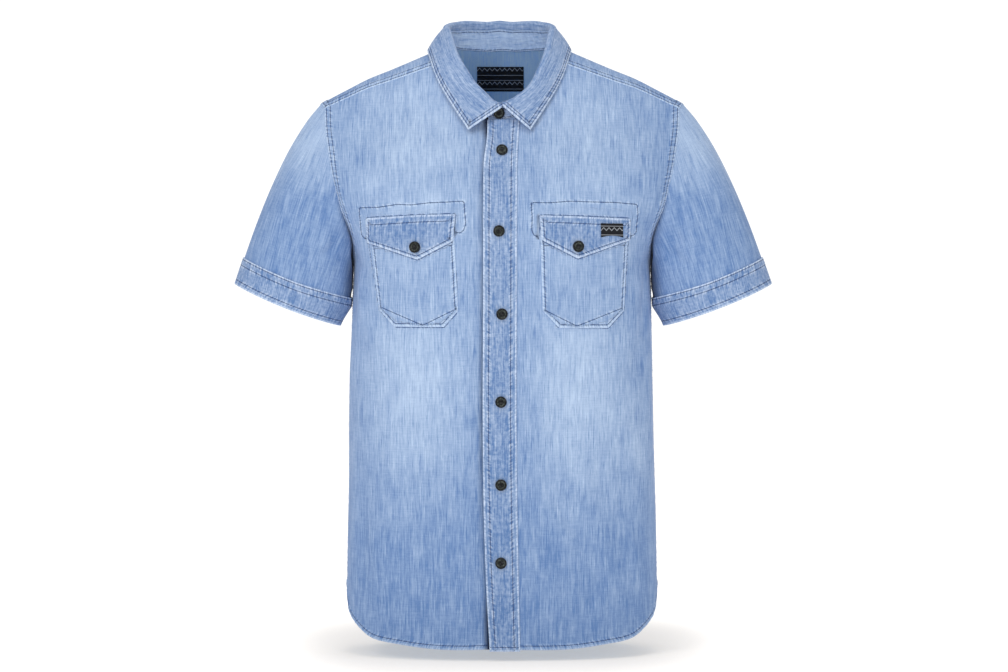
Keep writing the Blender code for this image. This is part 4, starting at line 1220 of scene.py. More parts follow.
@dataclass(frozen=True)
class ShankButton:
    """The metal button that is copied: a rim, a paler ring and a hollow with a pin."""
    radius: float = 7.0
    height: float = 2.3
    segments: int = 48
    ring: tuple[float, float] = (3.3, 4.9)
    bevel: float = 0.16

    def model(self) -> bpy.types.Object:
        """Turn the button from a cylinder, in steps."""
        bpy.ops.object.select_all(action="DESELECT")
        bpy.ops.mesh.primitive_cylinder_add(vertices=self.segments, radius=self.radius * MM,
                                            depth=self.height * MM, location=(0, 0, self.height / 2 * MM))
        button = bpy.context.active_object
        button.name = "button_model"
        bpy.ops.object.transform_apply(location=True, rotation=False, scale=False)
        mesh = button.data
        top = max(mesh.polygons, key=lambda face: face.center.z).index
        bpy.ops.object.mode_set(mode="EDIT")
        bpy.ops.mesh.select_mode(type="FACE")
        bpy.ops.mesh.select_all(action="DESELECT")
        bpy.ops.object.mode_set(mode="OBJECT")
        mesh.polygons[top].select = True
        bpy.ops.object.mode_set(mode="EDIT")
        for step in BUTTON_STEPS:
            bpy.ops.mesh.inset(thickness=step.inset * MM, depth=0)
            bpy.ops.transform.translate(value=(0, 0, step.rise * MM))
        bpy.ops.object.mode_set(mode="OBJECT")
        bevel = button.modifiers.new("soft_edges", "BEVEL")
        bevel.width, bevel.segments = self.bevel * MM, 2
        bevel.limit_method, bevel.angle_limit = "ANGLE", math.radians(25)
        bpy.ops.object.modifier_apply(modifier=bevel.name)
        for metal in (Gunmetal("gunmetal", (30, 32, 34), (66, 68, 70), 0.36),
                      Gunmetal("gunmetal_ring", (50, 55, 52), (94, 100, 94), 0.42)):
            mesh.materials.append(metal.material())
        for face in mesh.polygons:
            radius = math.hypot(face.center.x, face.center.y) / MM
            face.material_index = int(self.ring[0] < radius < self.ring[1])
        mesh.shade_smooth()
        mesh.set_sharp_from_angle(angle=math.radians(40))
        return button


class Slot(Enum):
    """The slots that the cloth's pieces take their finish from."""
    PANEL = "denim_panel"
    TRIM = "denim_trim"
    LABEL = "woven_label"


class Held(Enum):
    """The ways a sheet is held."""
    HUNG = "hung"
    DRAPED = "draped"
    FOLDED = "folded"
    LAID = "laid"


class Workshop:
    """The finishes and tools that every piece is made with."""

    def __init__(self) -> None:
        """Make the finishes, the stitcher and the button that is copied."""
        panel = Denim("denim_panel", deep=(97, 131, 183), faded=(190, 211, 238), inside=(214, 240, 255),
                      inside_deep=(160, 206, 255), groove=(62, 86, 134), pucker=0.72, worn=0.5, crumple=0.26)
        trim = Denim("denim_trim", deep=(93, 127, 178), faded=(200, 217, 241), inside=(206, 226, 250),
                     inside_deep=(134, 166, 214), groove=(62, 84, 130), pucker=0.74, worn=0.6, crumple=0.9)
        self.cloth = {Slot.PANEL: panel.material(), Slot.TRIM: trim.material(),
                      Slot.LABEL: WovenLabel().material()}
        self.stitcher = Stitcher(Thread().material())
        self.button = ShankButton().model()
        self.count = 0

    def clear(self) -> None:
        """Remove the button that was only there to be copied."""
        bpy.data.objects.remove(self.button, do_unlink=True)

    def keep(self, piece: bpy.types.Object, slot: str, *nodes: str) -> bpy.types.Object:
        """Fix a piece to the shirt and hide the nodes it stands for."""
        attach(piece, ROOT)
        if nodes:
            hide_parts(*nodes)
        self.count += 1
        LOG.info("%s: %d faces", piece.name, len(piece.data.polygons))
        return piece

    def finish(self, sheet: Sheet, thickness: float, slot: Slot, held: Held, *rests_on: str) -> None:
        """Build a sheet, measure its cut and sew its stitches.

        Args:
            sheet: The cloth.
            thickness: How thick it is.
            slot: The slot it takes its finish from.
            held: How it is held; not used.
            *rests_on: The nodes it hangs from or lies on; not used.
        """
        sheet.stitch()
        width, length, area = sheet.cut()
        piece = self.keep(sheet.build(thickness, self.cloth[slot]), slot.value, sheet.node)
        if sheet.lines:
            self.keep(self.stitcher.sew(f"{sheet.node}_stitches", sheet.lines), Slot.TRIM.value)

    def place_button(self, node: str, centre: Array, facing: Array) -> None:
        """Put a copy of the button on the cloth, turned to face the way the cloth does."""
        mesh = self.button.data.copy()
        z_axis = Vector(facing)
        x_axis = Vector((0, 0, 1)).cross(z_axis).normalized()
        turn = Matrix((x_axis, z_axis.cross(x_axis), z_axis)).transposed().to_4x4()
        mesh.transform(Matrix.Translation(Vector(centre) * MM) @ turn)
        self.keep(add_object(f"{node}_turned", mesh), "button_metal", node)


# ================================================================ the shirt's pieces

PANEL_CLOTH = 0.9
TRIM_CLOTH = 1.3
COLLAR_CLOTH = 1.5
LABEL_CLOTH = 0.5
PLACKET_LIFT = 1.9
POCKET_LIFT = 1.6
FLAP_LIFT = 1.7
FLAP_RISE = 1.9
TAB_LIFT = 0.5
LABEL_GAP = 0.2
THREAD_LIFT = 0.15
COLLAR_WASH = 0.33

HEM_WELT = Welt(rows=(5.0,), pucker=0.3, band=6.0, height=0.9)
ARMHOLE_WELT = Welt(rows=(2.6, 7.8), pucker=0.22, band=9.0, height=0.9)
SHOULDER_WELT = Welt(rows=(2.4, 7.2), pucker=0.2, band=8.0, height=0.8)
YOKE_BACK_WELT = Welt(rows=(1.8, 7.0), pucker=0.2, band=8.5, height=0.8)
SIDE_WELT = Welt(rows=(1.8, 7.2), pucker=0.2, band=8.5, height=0.8)
CUFF_TOP_WELT = Welt(rows=(2.2, 9.5), pucker=0.2)
CUFF_EDGE_WELT = Welt(rows=(6.2,), pucker=0.16)
PLACKET_WELT = Welt(rows=(7.2,), pucker=0.16)
POCKET_WELT = Welt(rows=(3.7,), pucker=0.16)
FLAP_WELT = Welt(rows=(3.9,), pucker=0.16)
FLAP_TOP_WELT = Welt(rows=(8.4,), pucker=0.2)
LEAF_WELT = Welt(rows=(3.0, 6.4), pucker=0.12)
STAND_WELT = Welt(rows=(1.6,), pucker=0.2)
STAND_TOP_WELT = Welt(rows=(2.6,), pucker=0.2)


class ButtonSeat(NamedTuple):
    """Where a button sits, seen from the front, and how far its back stands off the torso's skin."""
    name: str
    x: float
    z: float
    lift: float


ON_PLACKET = PLACKET_LIFT + 0.3
ON_FLAP = FLAP_LIFT + FLAP_RISE + 0.3
BUTTONS = table(
    ButtonSeat,
    ("button_2", 0, -128, ON_PLACKET), ("button_3", -3.6, -225.7, ON_PLACKET),
    ("button_4", 0, -327, ON_PLACKET), ("button_5", -1.2, -434.4, ON_PLACKET),
    ("button_6", -1.2, -535.7, ON_PLACKET), ("button_7", -1.2, -631.2, ON_PLACKET),
    ("flap_button_right", -105, -245.2, ON_FLAP), ("flap_button_left", 92.1, -244.4, ON_FLAP),
)
HALO_WIDTH = 11.0
HALO_WASH = 0.16
BUTTON_HALOS = table(FadeSpot, *((seat.x, seat.z, HALO_WIDTH, HALO_WIDTH, HALO_WASH) for seat in BUTTONS))


def sewn_line(outline: Outline, lift: float) -> Stitches:
    """A line of sewing laid over the front's skin, and the way the skin faces there."""
    corners = np.array(outline, float)
    run = lengths_along(corners)
    return laid_on(read_line(corners, run, np.linspace(0, run[-1], max(4, int(run[-1] / 2)))), lift)


def laid_sheet(node: str, flat: Array, lift: Any, wash: Any) -> Sheet:
    """A sheet laid over the front at (x, z) places, its outer side moved out by a lift."""
    points, facing = laid_on(flat, lift)
    return Sheet(node, points, facing, flat, wash)


@dataclass(frozen=True)
class ChestPocket:
    """A chest pocket and its flap: (x, z) corners, seen from the front.

    patch is the row of stitches outside the flap, and vee the one across the pocket below it.
    """
    side: str
    body_top: Outline
    body_bottom: Outline
    flap_top: Outline
    flap_bottom: Outline
    patch: Outline
    vee: Outline
    body_cells: tuple[int, ...] = (16, 26, 16)
    body_rows: int = 56
    flap_cells: tuple[int, ...] = (30, 30)
    flap_rows: int = 34
    flap_height: float = 50.0
    flap_sewn: float = 0.33
    body_wash: float = 0.44
    flap_wash: float = 0.22

    def mark_front(self, front: Sheet) -> Stitches:
        """Tell a front of the sewing round its pocket and of the painted shadow line round its outline, and
        hand back the row that shows outside it.
        """
        patch = sewn_line(self.patch, THREAD_LIFT)
        front.mark(patch[0])
        # A row marked just outside the outline of the pocket and flap, whose dark line is a painted shadow
        # where they stand off the front
        outline = (*self.flap_top[::-1], self.flap_bottom[0], *self.body_bottom, self.flap_bottom[-1],
                   self.flap_top[-1])
        front.mark(sewn_line(outline, 0.0)[0], OUTLINE_SHADE_REACH, OUTLINE_SHADE_OFFSET)
        return patch

    def make(self, shop: Workshop) -> None:
        """Make the pocket and the flap over it."""
        body = between(self.body_top, self.body_bottom, self.body_cells, self.body_rows)
        sheet = laid_sheet(f"pocket_{self.side}", body, POCKET_LIFT, self.body_wash)
        sheet.sew(POCKET_WELT, Side.LEFT, Side.RIGHT, Side.BOTTOM)
        vee = sewn_line(self.vee, POCKET_LIFT)
        sheet.mark(vee[0])
        # A painted shadow line on the pocket just below the flap's edge
        sheet.mark(sewn_line(self.flap_bottom, POCKET_LIFT)[0], OUTLINE_SHADE_REACH, OUTLINE_SHADE_OFFSET)
        sheet.stitch()
        sheet.lines.append(vee)
        shop.finish(sheet, TRIM_CLOTH, Slot.PANEL, Held.LAID, f"front_{self.side}")

        flap = between(self.flap_top, self.flap_bottom, self.flap_cells, self.flap_rows)
        down = 1 - graded(self.flap_height, self.flap_rows)[:, None]
        lift = FLAP_LIFT + FLAP_RISE * smoothstep(down / self.flap_sewn)
        sheet = laid_sheet(f"flap_{self.side}", flap, lift, self.flap_wash)
        sheet.sew(FLAP_WELT, Side.LEFT, Side.RIGHT, Side.BOTTOM)
        sheet.sew(FLAP_TOP_WELT, Side.TOP)
        sheet.wash += wash_of(BUTTON_HALOS, sheet.points)
        shop.finish(sheet, TRIM_CLOTH, Slot.TRIM, Held.LAID, f"pocket_{self.side}")


POCKETS = {
    "right": ChestPocket(
        side="right",
        body_top=((-161, -227), (-143, -226), (-77, -225), (-58.7, -224)),
        body_bottom=((-150.4, -322.4), (-131.8, -343), (-70.9, -343), (-53.3, -323)),
        flap_top=((-165.7, -210.2), (-103, -206.5), (-56.7, -205.2)),
        flap_bottom=((-164, -239.9), (-102.6, -260.7), (-59.7, -238)),
        patch=((-162, -236.5), (-169, -235.5), (-173, -231), (-174.4, -214), (-175.6, -197.6),
               (-152, -197), (-128, -193.4), (-111, -194), (-88, -191.4), (-68, -190.6), (-46.3, -189.3),
               (-45.3, -204), (-44.2, -217), (-46.4, -225), (-51, -228.4), (-57, -227.2)),
        vee=((-149.3, -318.9), (-96.4, -341), (-55.1, -320.5))),
    "left": ChestPocket(
        side="left",
        body_top=((46.6, -224), (67, -225), (134, -226), (153.6, -227)),
        body_bottom=((49.5, -322.8), (69.9, -344), (130, -344.6), (149.1, -324)),
        flap_top=((45.9, -206.7), (92, -208), (157, -210.9)),
        flap_bottom=((48.2, -236.5), (92.1, -259.3), (154.9, -236.9)),
        patch=((43.5, -232.6), (39, -231), (36.4, -225), (36.8, -208), (35.4, -190.9), (58, -191.4),
               (84, -189.4), (109.1, -190.4), (138, -191), (165.8, -193.4), (166.9, -206),
               (165.4, -219), (165.6, -226), (162.5, -231), (156, -232.4)),
        vee=((51.3, -321.8), (91.2, -342), (147.3, -320.4))),
}


class Panel(NamedTuple):
    """A torso panel: its grid of points and the normals there, and the pairs that place them."""
    points: Array
    facing: Array
    pairs: Array


def panel(pairs: Array, to_points: ToPoints) -> Panel:
    """The panel over a grid of pairs."""
    return Panel(to_points(pairs), torso_normals(pairs, to_points), pairs)


def placket_edge(name: str) -> Callable[[Array], Array]:
    """One long edge of the placket, as a function of height."""
    return lambda z: read(PLACKET, "z", name, z)


@dataclass
class Body:
    """The fronts, the back and the yoke: panels of the torso's skin, sewn together at the neck and arms."""
    shop: Workshop
    rows: int = 136
    chest_rows: int = 58
    neck_rows: int = 34
    back_arm_rows: int = 66
    front_columns: int = 64
    back_columns: int = 110
    yoke_rows: int = 46
    arm_cells: int = 36
    length: float = 450.0
    front_width: float = 220.0
    back_width: float = 440.0
    yoke_width: float = 165.0
    yoke_arm_length: float = 75.0
    edge_tuck: float = 1.2
    overlap_x: float = -42.0
    overlap_ease: float = 18.0
    # Painted shade on the fronts: beside the edge of the over front, widening in the gap at the hem, by the
    # neck, and in the crease along the armhole low down
    overlap_shade: tuple[float, float] = (0.45, 2.6)
    hem_gap: tuple[float, float, float] = (-660.0, 70.0, 4.2)
    neck_shade: tuple[float, float, float, float] = (0.75, 9.0, -116.0, 14.0)
    arm_crease: tuple[float, float, float, float] = (0.95, 3.2, -196.0, 44.0)

    def __post_init__(self) -> None:
        """Make the panels, each sewn and finished."""
        self.grain = Grain()
        self.over, self.under = self.make_fronts()
        self.back = self.make_back()
        self.yoke = self.make_yoke()

    def torso_sheet(self, node: str, shape: Panel, weave: Array) -> Sheet:
        """A sheet on the torso's skin, washed out as it is there."""
        points = shape.points
        spots = np.where(points[..., 1] < 0, wash_of(FRONT_FADES, points), wash_of(BACK_FADES, points))
        return Sheet(node, points, shape.facing, weave, BASE_FADE + spots)

    def side_seam(self) -> Array:
        """The side seam's pairs, from the hem up to the underarm."""
        return stacked(SIDE_TURN, self.body_rows(hem_height(SIDE_TURN)))

    def body_rows(self, low: float) -> Array:
        """Heights of the rows between the hem and the underarm, finer at the hem."""
        return low + (UNDERARM_Z - low) * graded(self.length, self.rows, far=False)

    def armhole(self, is_back: bool) -> Array:
        """The armhole's front or back edge, from the underarm up to the yoke."""
        rows, top, cells = ((ARMHOLE_BACK, ARMHOLE_TOP[-1], self.back_arm_rows) if is_back
                            else (ARMHOLE_FRONT, ARMHOLE_TOP[0], self.chest_rows + self.neck_rows))
        turns = np.radians(column(rows, "turn"))
        path = stacked(math.pi - turns if is_back else turns, column(rows, "z"))
        end = stacked(*over_shoulder(np.array(top.x), np.array(top.over)))
        return spaced(np.concatenate([path, end[None]]), even(cells), as_skin)

    def neck_front(self, start_x: float) -> Array:
        """Front neckline from a start near the centre front up to the shoulder seam."""
        rows = [row for row in NECK_FRONT if row.x > abs(start_x) + 2] if start_x > 0 else NECK_FRONT
        start = FrontPoint(start_x, float(read(NECK_FRONT, "x", "z", abs(start_x))))
        turns = [(float(turn_at(row.x, row.z)), row.z) for row in (start, *rows)]
        turn, z = over_shoulder(np.array(NECK_YOKE[0].x), np.array(NECK_YOKE[0].over))
        return spaced(turns + [(float(turn), float(z))], even(self.neck_rows), as_skin)

    def front_panel(self, start_x_of: Callable[[Array], Array], flip: int) -> Panel:
        """A front panel whose front edge is start_x_of(z) from the middle; flip is -1 on the right."""
        neck = self.neck_front(start_x_of(PLACKET_TOP_Z))
        reference = self.neck_front(placket_edge("right")(PLACKET_TOP_Z))[0, 1]
        edge_z = np.concatenate([self.body_rows(hem_height(0)),
                                 np.linspace(UNDERARM_Z, reference, self.chest_rows + 1)[1:]])
        edge = stacked(turn_at(start_x_of(edge_z), edge_z), edge_z)
        edge[-1] = neck[0]
        across = graded(self.front_width, self.front_columns, near=False)
        hem_turn = edge[0, 0] + (SIDE_TURN - edge[0, 0]) * across
        start, end = np.array(NECK_YOKE[0]), np.array(ARMHOLE_TOP[0])
        top = stacked(*over_shoulder(*(start[:, None] + (end - start)[:, None] * across)))
        left = np.concatenate([edge, neck[1:]])
        right = np.concatenate([self.side_seam(), self.armhole(False)[1:]])
        grid = coons(left, right, stacked(hem_turn, hem_height(hem_turn)), top, across)
        return panel(grid * [flip, 1], as_skin)

    def make_fronts(self) -> tuple[Panel, Panel]:
        """The two fronts; the wearer's left one lies over the right one at the centre."""
        over_edge, under_edge = placket_edge("right"), placket_edge("left")
        over = self.front_panel(lambda z: over_edge(z) + self.edge_tuck, 1)
        under = self.front_panel(lambda z: 3 * self.edge_tuck - under_edge(z), -1)
        tuck = smoothstep((under.points[..., :1] - self.overlap_x) / self.overlap_ease) * OVERLAP
        under = under._replace(points=under.points - under.facing * tuck)
        for side, shape in (("left", over), ("right", under)):
            weave = self.grain.at(shape.pairs[..., 0], shape.pairs[..., 1], 0.0)
            sheet = self.torso_sheet(f"front_{side}", shape, weave)
            sheet.sew(HEM_WELT, Side.BOTTOM)
            sheet.sew(ARMHOLE_WELT, Side.RIGHT, part=slice(self.rows, None))
            z = shape.points[..., 2]
            # Painted shade in the crease along the low armhole seam
            amount, reach, start_z, ease = self.arm_crease
            shade = amount * smoothstep((start_z - z) / ease) * bell(sheet.edges[-1].distance, reach)
            if shape is under:
                shade = shade + self.lap_shade(np.maximum(over_edge(z) - shape.points[..., 0], 0), z)
            sheet.shade = np.clip(shade, 0, 1)
            patch = POCKETS[side].mark_front(sheet)
            sheet.stitch()
            sheet.lines.append(patch)
            sheet.tuck(Side.TOP)
            sheet.tuck(Side.RIGHT, slice(0, self.rows - 1))
            self.shop.finish(sheet, PANEL_CLOTH, Slot.PANEL, Held.HUNG, "yoke")
        return over, under

    def lap_shade(self, gap: Array, z: Array) -> Array:
        """The painted shade on the right front beside the edge that lies over it, deeper in the gap at the
        hem and by the neck.
        """
        amount, reach = self.overlap_shade
        hem_z, hem_ease, hem_reach = self.hem_gap
        neck, neck_reach, neck_z, neck_ease = self.neck_shade
        return (amount * bell(gap, reach) + smoothstep((hem_z - z) / hem_ease) * bell(gap, hem_reach)
                + neck * smoothstep(1 - gap / neck_reach) * smoothstep((z - neck_z) / neck_ease))

    def make_back(self) -> Panel:
        """The back panel, from the wearer's left side seam round to the right one."""
        left = np.concatenate([self.side_seam(), self.armhole(True)[1:]])
        right = stacked(2 * math.pi - left[:, 0], left[:, 1])
        across = graded(self.back_width, self.back_columns)
        hem_turn = SIDE_TURN + math.pi * across
        top = left[-1] + (right[-1] - left[-1]) * across[:, None]
        top[:, 1] = YOKE_BACK_Z
        shape = panel(coons(left, right, stacked(hem_turn, hem_height(hem_turn)), top, across), as_skin)
        weave = self.grain.at(shape.pairs[..., 0], shape.pairs[..., 1], math.pi)
        sheet = self.torso_sheet("back", shape, weave)
        sheet.sew(HEM_WELT, Side.BOTTOM)
        for side in (Side.LEFT, Side.RIGHT):
            sheet.sew(SIDE_WELT, side, part=slice(0, self.rows))
            sheet.sew(ARMHOLE_WELT, side, part=slice(self.rows, None))
        sheet.stitch()
        sheet.tuck(Side.TOP)
        self.shop.finish(sheet, PANEL_CLOTH, Slot.PANEL, Held.HUNG, "yoke")
        return shape

    def back_seam(self) -> Array:
        """The back yoke seam, from the wearer's left armhole to the right one."""
        start = self.armhole(True)[-1, 0]
        turn = start + (2 * math.pi - 2 * start) * graded(self.back_width, self.back_columns)
        x = skin(turn, np.full_like(turn, YOKE_BACK_Z))[:, 0]
        return stacked(x, np.degrees(np.arccos(1 - (ridge_height(x) - YOKE_BACK_Z) / ROLL_BACK)))

    def make_yoke(self) -> Panel:
        """The yoke: a U round the neck, which laps over the fronts and the back."""
        flip = np.array([-1, 1])
        half = spaced(ARMHOLE_TOP, graded(self.yoke_arm_length, self.arm_cells, far=False), as_yoke)
        seam = self.back_seam()
        half[-1] = seam[0]
        outer = np.concatenate([half, seam[1:-1], half[::-1] * flip])
        neck = spaced(NECK_YOKE, graded(self.yoke_width, len(outer) // 2, far=False), as_yoke)
        neck = np.concatenate([neck, neck[-2::-1] * flip])[:len(outer)]
        up = graded(self.yoke_width, self.yoke_rows, near=False)
        start, end = np.array(NECK_YOKE[0]), np.array(ARMHOLE_TOP[0])
        side = start + (end - start) * up[:, None]
        shape = panel(coons(side, side * flip, neck, outer, even(len(outer) - 1), up), as_yoke)
        sheet = self.torso_sheet("yoke", shape, shape.pairs * [1, math.radians(1) * ROLL_BACK])
        sheet.sew(SHOULDER_WELT, Side.LEFT, Side.RIGHT)
        sheet.sew(ARMHOLE_WELT, Side.TOP, part=slice(0, self.arm_cells + 1))
        sheet.sew(YOKE_BACK_WELT, Side.TOP, part=slice(self.arm_cells, -self.arm_cells))
        sheet.sew(ARMHOLE_WELT, Side.TOP, part=slice(-self.arm_cells - 1, None))
        self.shop.finish(sheet, PANEL_CLOTH, Slot.PANEL, Held.DRAPED, "collar_stand")
        return shape

    def neckline(self) -> Array:
        """The neckline once round, from the front end on top to the front end underneath."""
        first, last = (front.points[self.rows + self.chest_rows:, 0] for front in (self.over, self.under))
        return np.concatenate([first, self.yoke.points[0, 1:-1], last[::-1]])

    def armhole_loop(self, flip: int) -> tuple[Array, Array]:
        """An armhole's points and the cloth's normals there, as on the wearer's left."""
        front = self.over if flip > 0 else self.under
        first, second = (
            np.concatenate([from_front[self.rows:, -1], from_yoke[-1, ::flip][1:self.arm_cells + 1],
                            from_back[self.rows + 1:-1, ::flip][::-1, 0]]) * np.array([flip, 1, 1])
            for from_front, from_yoke, from_back in zip(front[:2], self.yoke[:2], self.back[:2]))
        return first, second


@dataclass(frozen=True)
class Sleeve:
    """A sleeve and its cuff band, shaped as on the wearer's left and mirrored for the right.

    Places run down it from 0 at the armhole to 1 at the cuff's edge.
    """
    side: str
    flip: int
    spread: float
    rows: int = 84
    cuff_rows: int = 30
    length: float = 245.0
    bow: float = 3.0
    blend: float = 0.5
    band_top: float = 0.86
    band_overlap: float = 0.03
    band_height: float = 37.0
    band_lift: float = 0.5
    band_ease: float = 0.12
    close: float = 8.0
    close_start: float = 0.35
    clear: float = 1.7
    crease_ends: tuple[float, float] = (0.12, 0.2)
    crease_side: float = 0.4
    back_shift: tuple[float, float] = (7.0, -9.0)
    grain_tilt: float = 15.0
    grain_centre: tuple[float, float] = (240.0, -215.0)
    grain_width: float = 84.0
    grain_depth: float = 58.0
    wash_top: float = 0.62
    wash_low: float = 0.22
    wash_z: float = -200.0
    wash_reach: float = 85.0
    cuff_wash: float = 0.25
    # The shade fields set painted shade: on the sleeve's underside, where it turns in towards the body, and
    # along the armhole seam low down
    shade: float = 0.85
    shade_start: float = 0.72
    shade_reach: float = 14.0
    shade_z: float = -170.0
    shade_ease: float = 70.0

    def ring(self, place: float, angle: Array) -> Array:
        """Points of the plain sleeve at a place down it and angles round it."""
        outer_x, outer_z, inner_x, inner_z, depth = (
            read(SLEEVE, "place", name, place) for name in SleeveSection._fields[1:])
        outer, inner = np.array([outer_x + self.spread * place, 0, outer_z]), np.array([inner_x, 0, inner_z])
        middle, reach = (outer + inner) / 2, (outer - inner) / 2
        down = unit(np.array([reach[2], 0, -reach[0]]))
        bow = self.bow * smoothstep(place) * np.sin(angle) ** 2
        return (middle + np.cos(angle)[:, None] * reach
                + np.sin(angle)[:, None] * np.array([0, depth, 0]) + bow[:, None] * down)

    def rings(self, loop: Array, places: Array) -> tuple[Array, Array]:
        """The sleeve's rings, pulled at the top onto the armhole's loop, and each column's angle.

        Their undersides are drawn in until they are just clear of the body.
        """
        top = SLEEVE[0]
        middle = np.array([(top.outer_x + top.inner_x) / 2, 0, (top.outer_z + top.inner_z) / 2])
        reach = np.array([top.outer_x, 0, top.outer_z]) - middle
        angle = np.arctan2(loop[:, 1] / top.depth, (loop - middle) @ reach / (reach @ reach))
        pull = loop - self.ring(0.0, angle)
        points = np.stack([self.ring(place, angle) + (1 - smoothstep(place / self.blend)) * pull
                           for place in places])
        below = (places - self.band_top) / (1 - self.band_top)
        along = smoothstep(places / self.close_start) * (1 - smoothstep(below))
        drawn = self.close * along[:, None] * smoothstep(-np.cos(angle))
        z = np.minimum(points[..., 2], UNDERARM_Z)
        body = as_skin(stacked(SIDE_TURN, z))[..., 0]
        eased = smoothstep((places - self.band_top) / self.band_ease + 1)
        band = (self.band_lift + TRIM_CLOTH) * eased[:, None]
        points[..., 0] -= np.clip(points[..., 0] - body - self.clear - band, 0, drawn)
        return points, angle

    def weave(self, points: Array) -> Array:
        """Cloth coordinates round the sleeve's grain line and down it."""
        tilt = math.radians(self.grain_tilt)
        x, z = points[..., 0] - self.grain_centre[0], points[..., 2] - self.grain_centre[1]
        across, down = x * math.cos(tilt) + z * math.sin(tilt), x * math.sin(tilt) - z * math.cos(tilt)
        turn = np.unwrap(np.arctan2(points[..., 1] / self.grain_depth, across / self.grain_width), axis=0)
        turn = np.unwrap(np.concatenate([turn, turn[:, :1]], axis=1), axis=1)
        down = np.concatenate([down, down[:, :1]], axis=1)
        return stacked(turn * (self.grain_depth + self.grain_width) / 2, -down)

    def creases(self, points: Array, angle: Array, places: Array) -> Array:
        """How far the creases lift the sleeve; at the back they are moved and turned inside out."""
        rows, x, z = SLEEVE_CREASES[self.side], points[..., 0], points[..., 2]
        behind = crease_height(rows, x + self.back_shift[0], z + self.back_shift[1])
        start, end = self.crease_ends
        ends = smoothstep(places / start) * smoothstep((1 - places) / end)
        return (np.where(points[..., 1] < 0, crease_height(rows, x, z), -behind)
                * smoothstep(np.abs(np.sin(angle)) / self.crease_side) * ends[:, None])

    def make(self, shop: Workshop, loop: Array, outward: Array) -> None:
        """Make the sleeve and its cuff band.

        Args:
            shop: The finishes and tools.
            loop: The armhole's points.
            outward: The cloth's normals there.
        """
        mirror = np.array([self.flip, 1, 1])
        places = even(self.rows) * (self.band_top + self.band_overlap)
        points, angle = self.rings(loop, places)
        facing = grid_normals(points)
        lift = self.creases(points, angle, places)
        start = unit(points[1] - points[0])
        facing[0] = np.where(dot(facing[0] - outward, start) < 0, facing[0], outward)
        fold_back = (1 - dot(unit(loop - loop.mean(axis=0)), start)) / 2
        points[0] += start * SEAM_GAP + outward * fold_back * 2 * SEAM_GAP
        points = points + facing * lift[..., None]
        lapped = points[0] - start * LAP_REACH - outward * LAP_SINK
        points = np.concatenate([lapped[None], points])
        facing = np.concatenate([facing[:1], facing])
        z = points[..., 2]
        paler = smoothstep((z - self.wash_z) / self.wash_reach)
        wash = self.wash_low + (self.wash_top - self.wash_low) * paler
        sheet = Sheet(f"sleeve_{self.side}", points * mirror, facing * mirror, self.weave(points), wash,
                      closed=True)
        down = np.concatenate([[-LAP_REACH], places * self.length])[:, None]
        # Painted shade on the underside and along the low armhole seam
        shade = (smoothstep((-np.cos(angle) - self.shade_start) / (1 - self.shade_start))
                 + bell(down, self.shade_reach) * smoothstep((self.shade_z - z) / self.shade_ease))
        sheet.shade = np.clip(self.shade * shade, 0, self.shade)
        shop.finish(sheet, PANEL_CLOTH, Slot.PANEL, Held.HUNG, f"front_{self.side}", "yoke", "back")

        places = self.band_top + (1 - self.band_top) * graded(self.band_height, self.cuff_rows)
        band, angle = self.rings(loop, places)
        facing = grid_normals(band)
        points = (band + facing * (self.band_lift + TRIM_CLOTH)) * mirror
        sheet = Sheet(f"cuff_{self.side}", points, facing * mirror, self.weave(band), self.cuff_wash,
                      closed=True)
        sheet.sew(CUFF_TOP_WELT, Side.BOTTOM)
        sheet.sew(CUFF_EDGE_WELT, Side.TOP)
        shop.finish(sheet, TRIM_CLOTH, Slot.TRIM, Held.FOLDED, f"sleeve_{self.side}")


@dataclass(frozen=True)
class Placket:
    """The placket down the front of the wearer's left front."""
    bottom_z: float = -737.5
    drop: float = 2.2
    rows: int = 290
    columns: int = 30
    width: float = 41.0
    wash: float = 0.27
    wash_low: float = 0.18
    wash_z: float = -560.0
    wash_ease: float = 260.0

    def make(self, shop: Workshop) -> None:
        """Make the placket."""
        z = np.linspace(self.bottom_z - self.drop, PLACKET_TOP_Z, self.rows + 1)[:, None]
        across = graded(self.width, self.columns)
        x = placket_edge("right")(z) * (1 - across) + placket_edge("left")(z) * across
        wash = self.wash_low + (self.wash - self.wash_low) * smoothstep((z - self.wash_z) / self.wash_ease)
        sheet = laid_sheet("placket", stacked(x, z), PLACKET_LIFT, wash)
        sheet.sew(PLACKET_WELT, Side.LEFT, Side.RIGHT)
        sheet.sew(HEM_WELT, Side.BOTTOM)
        sheet.lift += crease_height(PLACKET_CREASES, x, z)
        sheet.wash += wash_of(BUTTON_HALOS, sheet.points)
        shop.finish(sheet, TRIM_CLOTH, Slot.TRIM, Held.LAID, "front_left")


@dataclass(frozen=True)
class Label:
    """A woven label from one x to another; a lift below 0 puts it inside the back."""
    node: str
    start: float
    end: float
    top: float
    bottom: float
    lift: float
    rests_on: str
    dip: float = 0.0
    rows: int = 24
    columns: int = 30

    def make(self, shop: Workshop) -> None:
        """Make the label."""
        x, part = np.meshgrid(self.start + (self.end - self.start) * even(self.columns), even(self.rows))
        sag = self.dip * np.sin(np.pi * even(self.columns))
        z = self.bottom + (self.top - self.bottom) * part + sag * (1 - part)
        points, normals = laid_on(stacked(x, z), self.lift, is_back=self.lift < 0)
        weave = stacked(x - min(self.start, self.end), z - self.bottom)
        sheet = Sheet(self.node, points, normals * np.sign(self.lift), weave, 0.0)
        shop.finish(sheet, LABEL_CLOTH, Slot.LABEL, Held.LAID, self.rests_on)


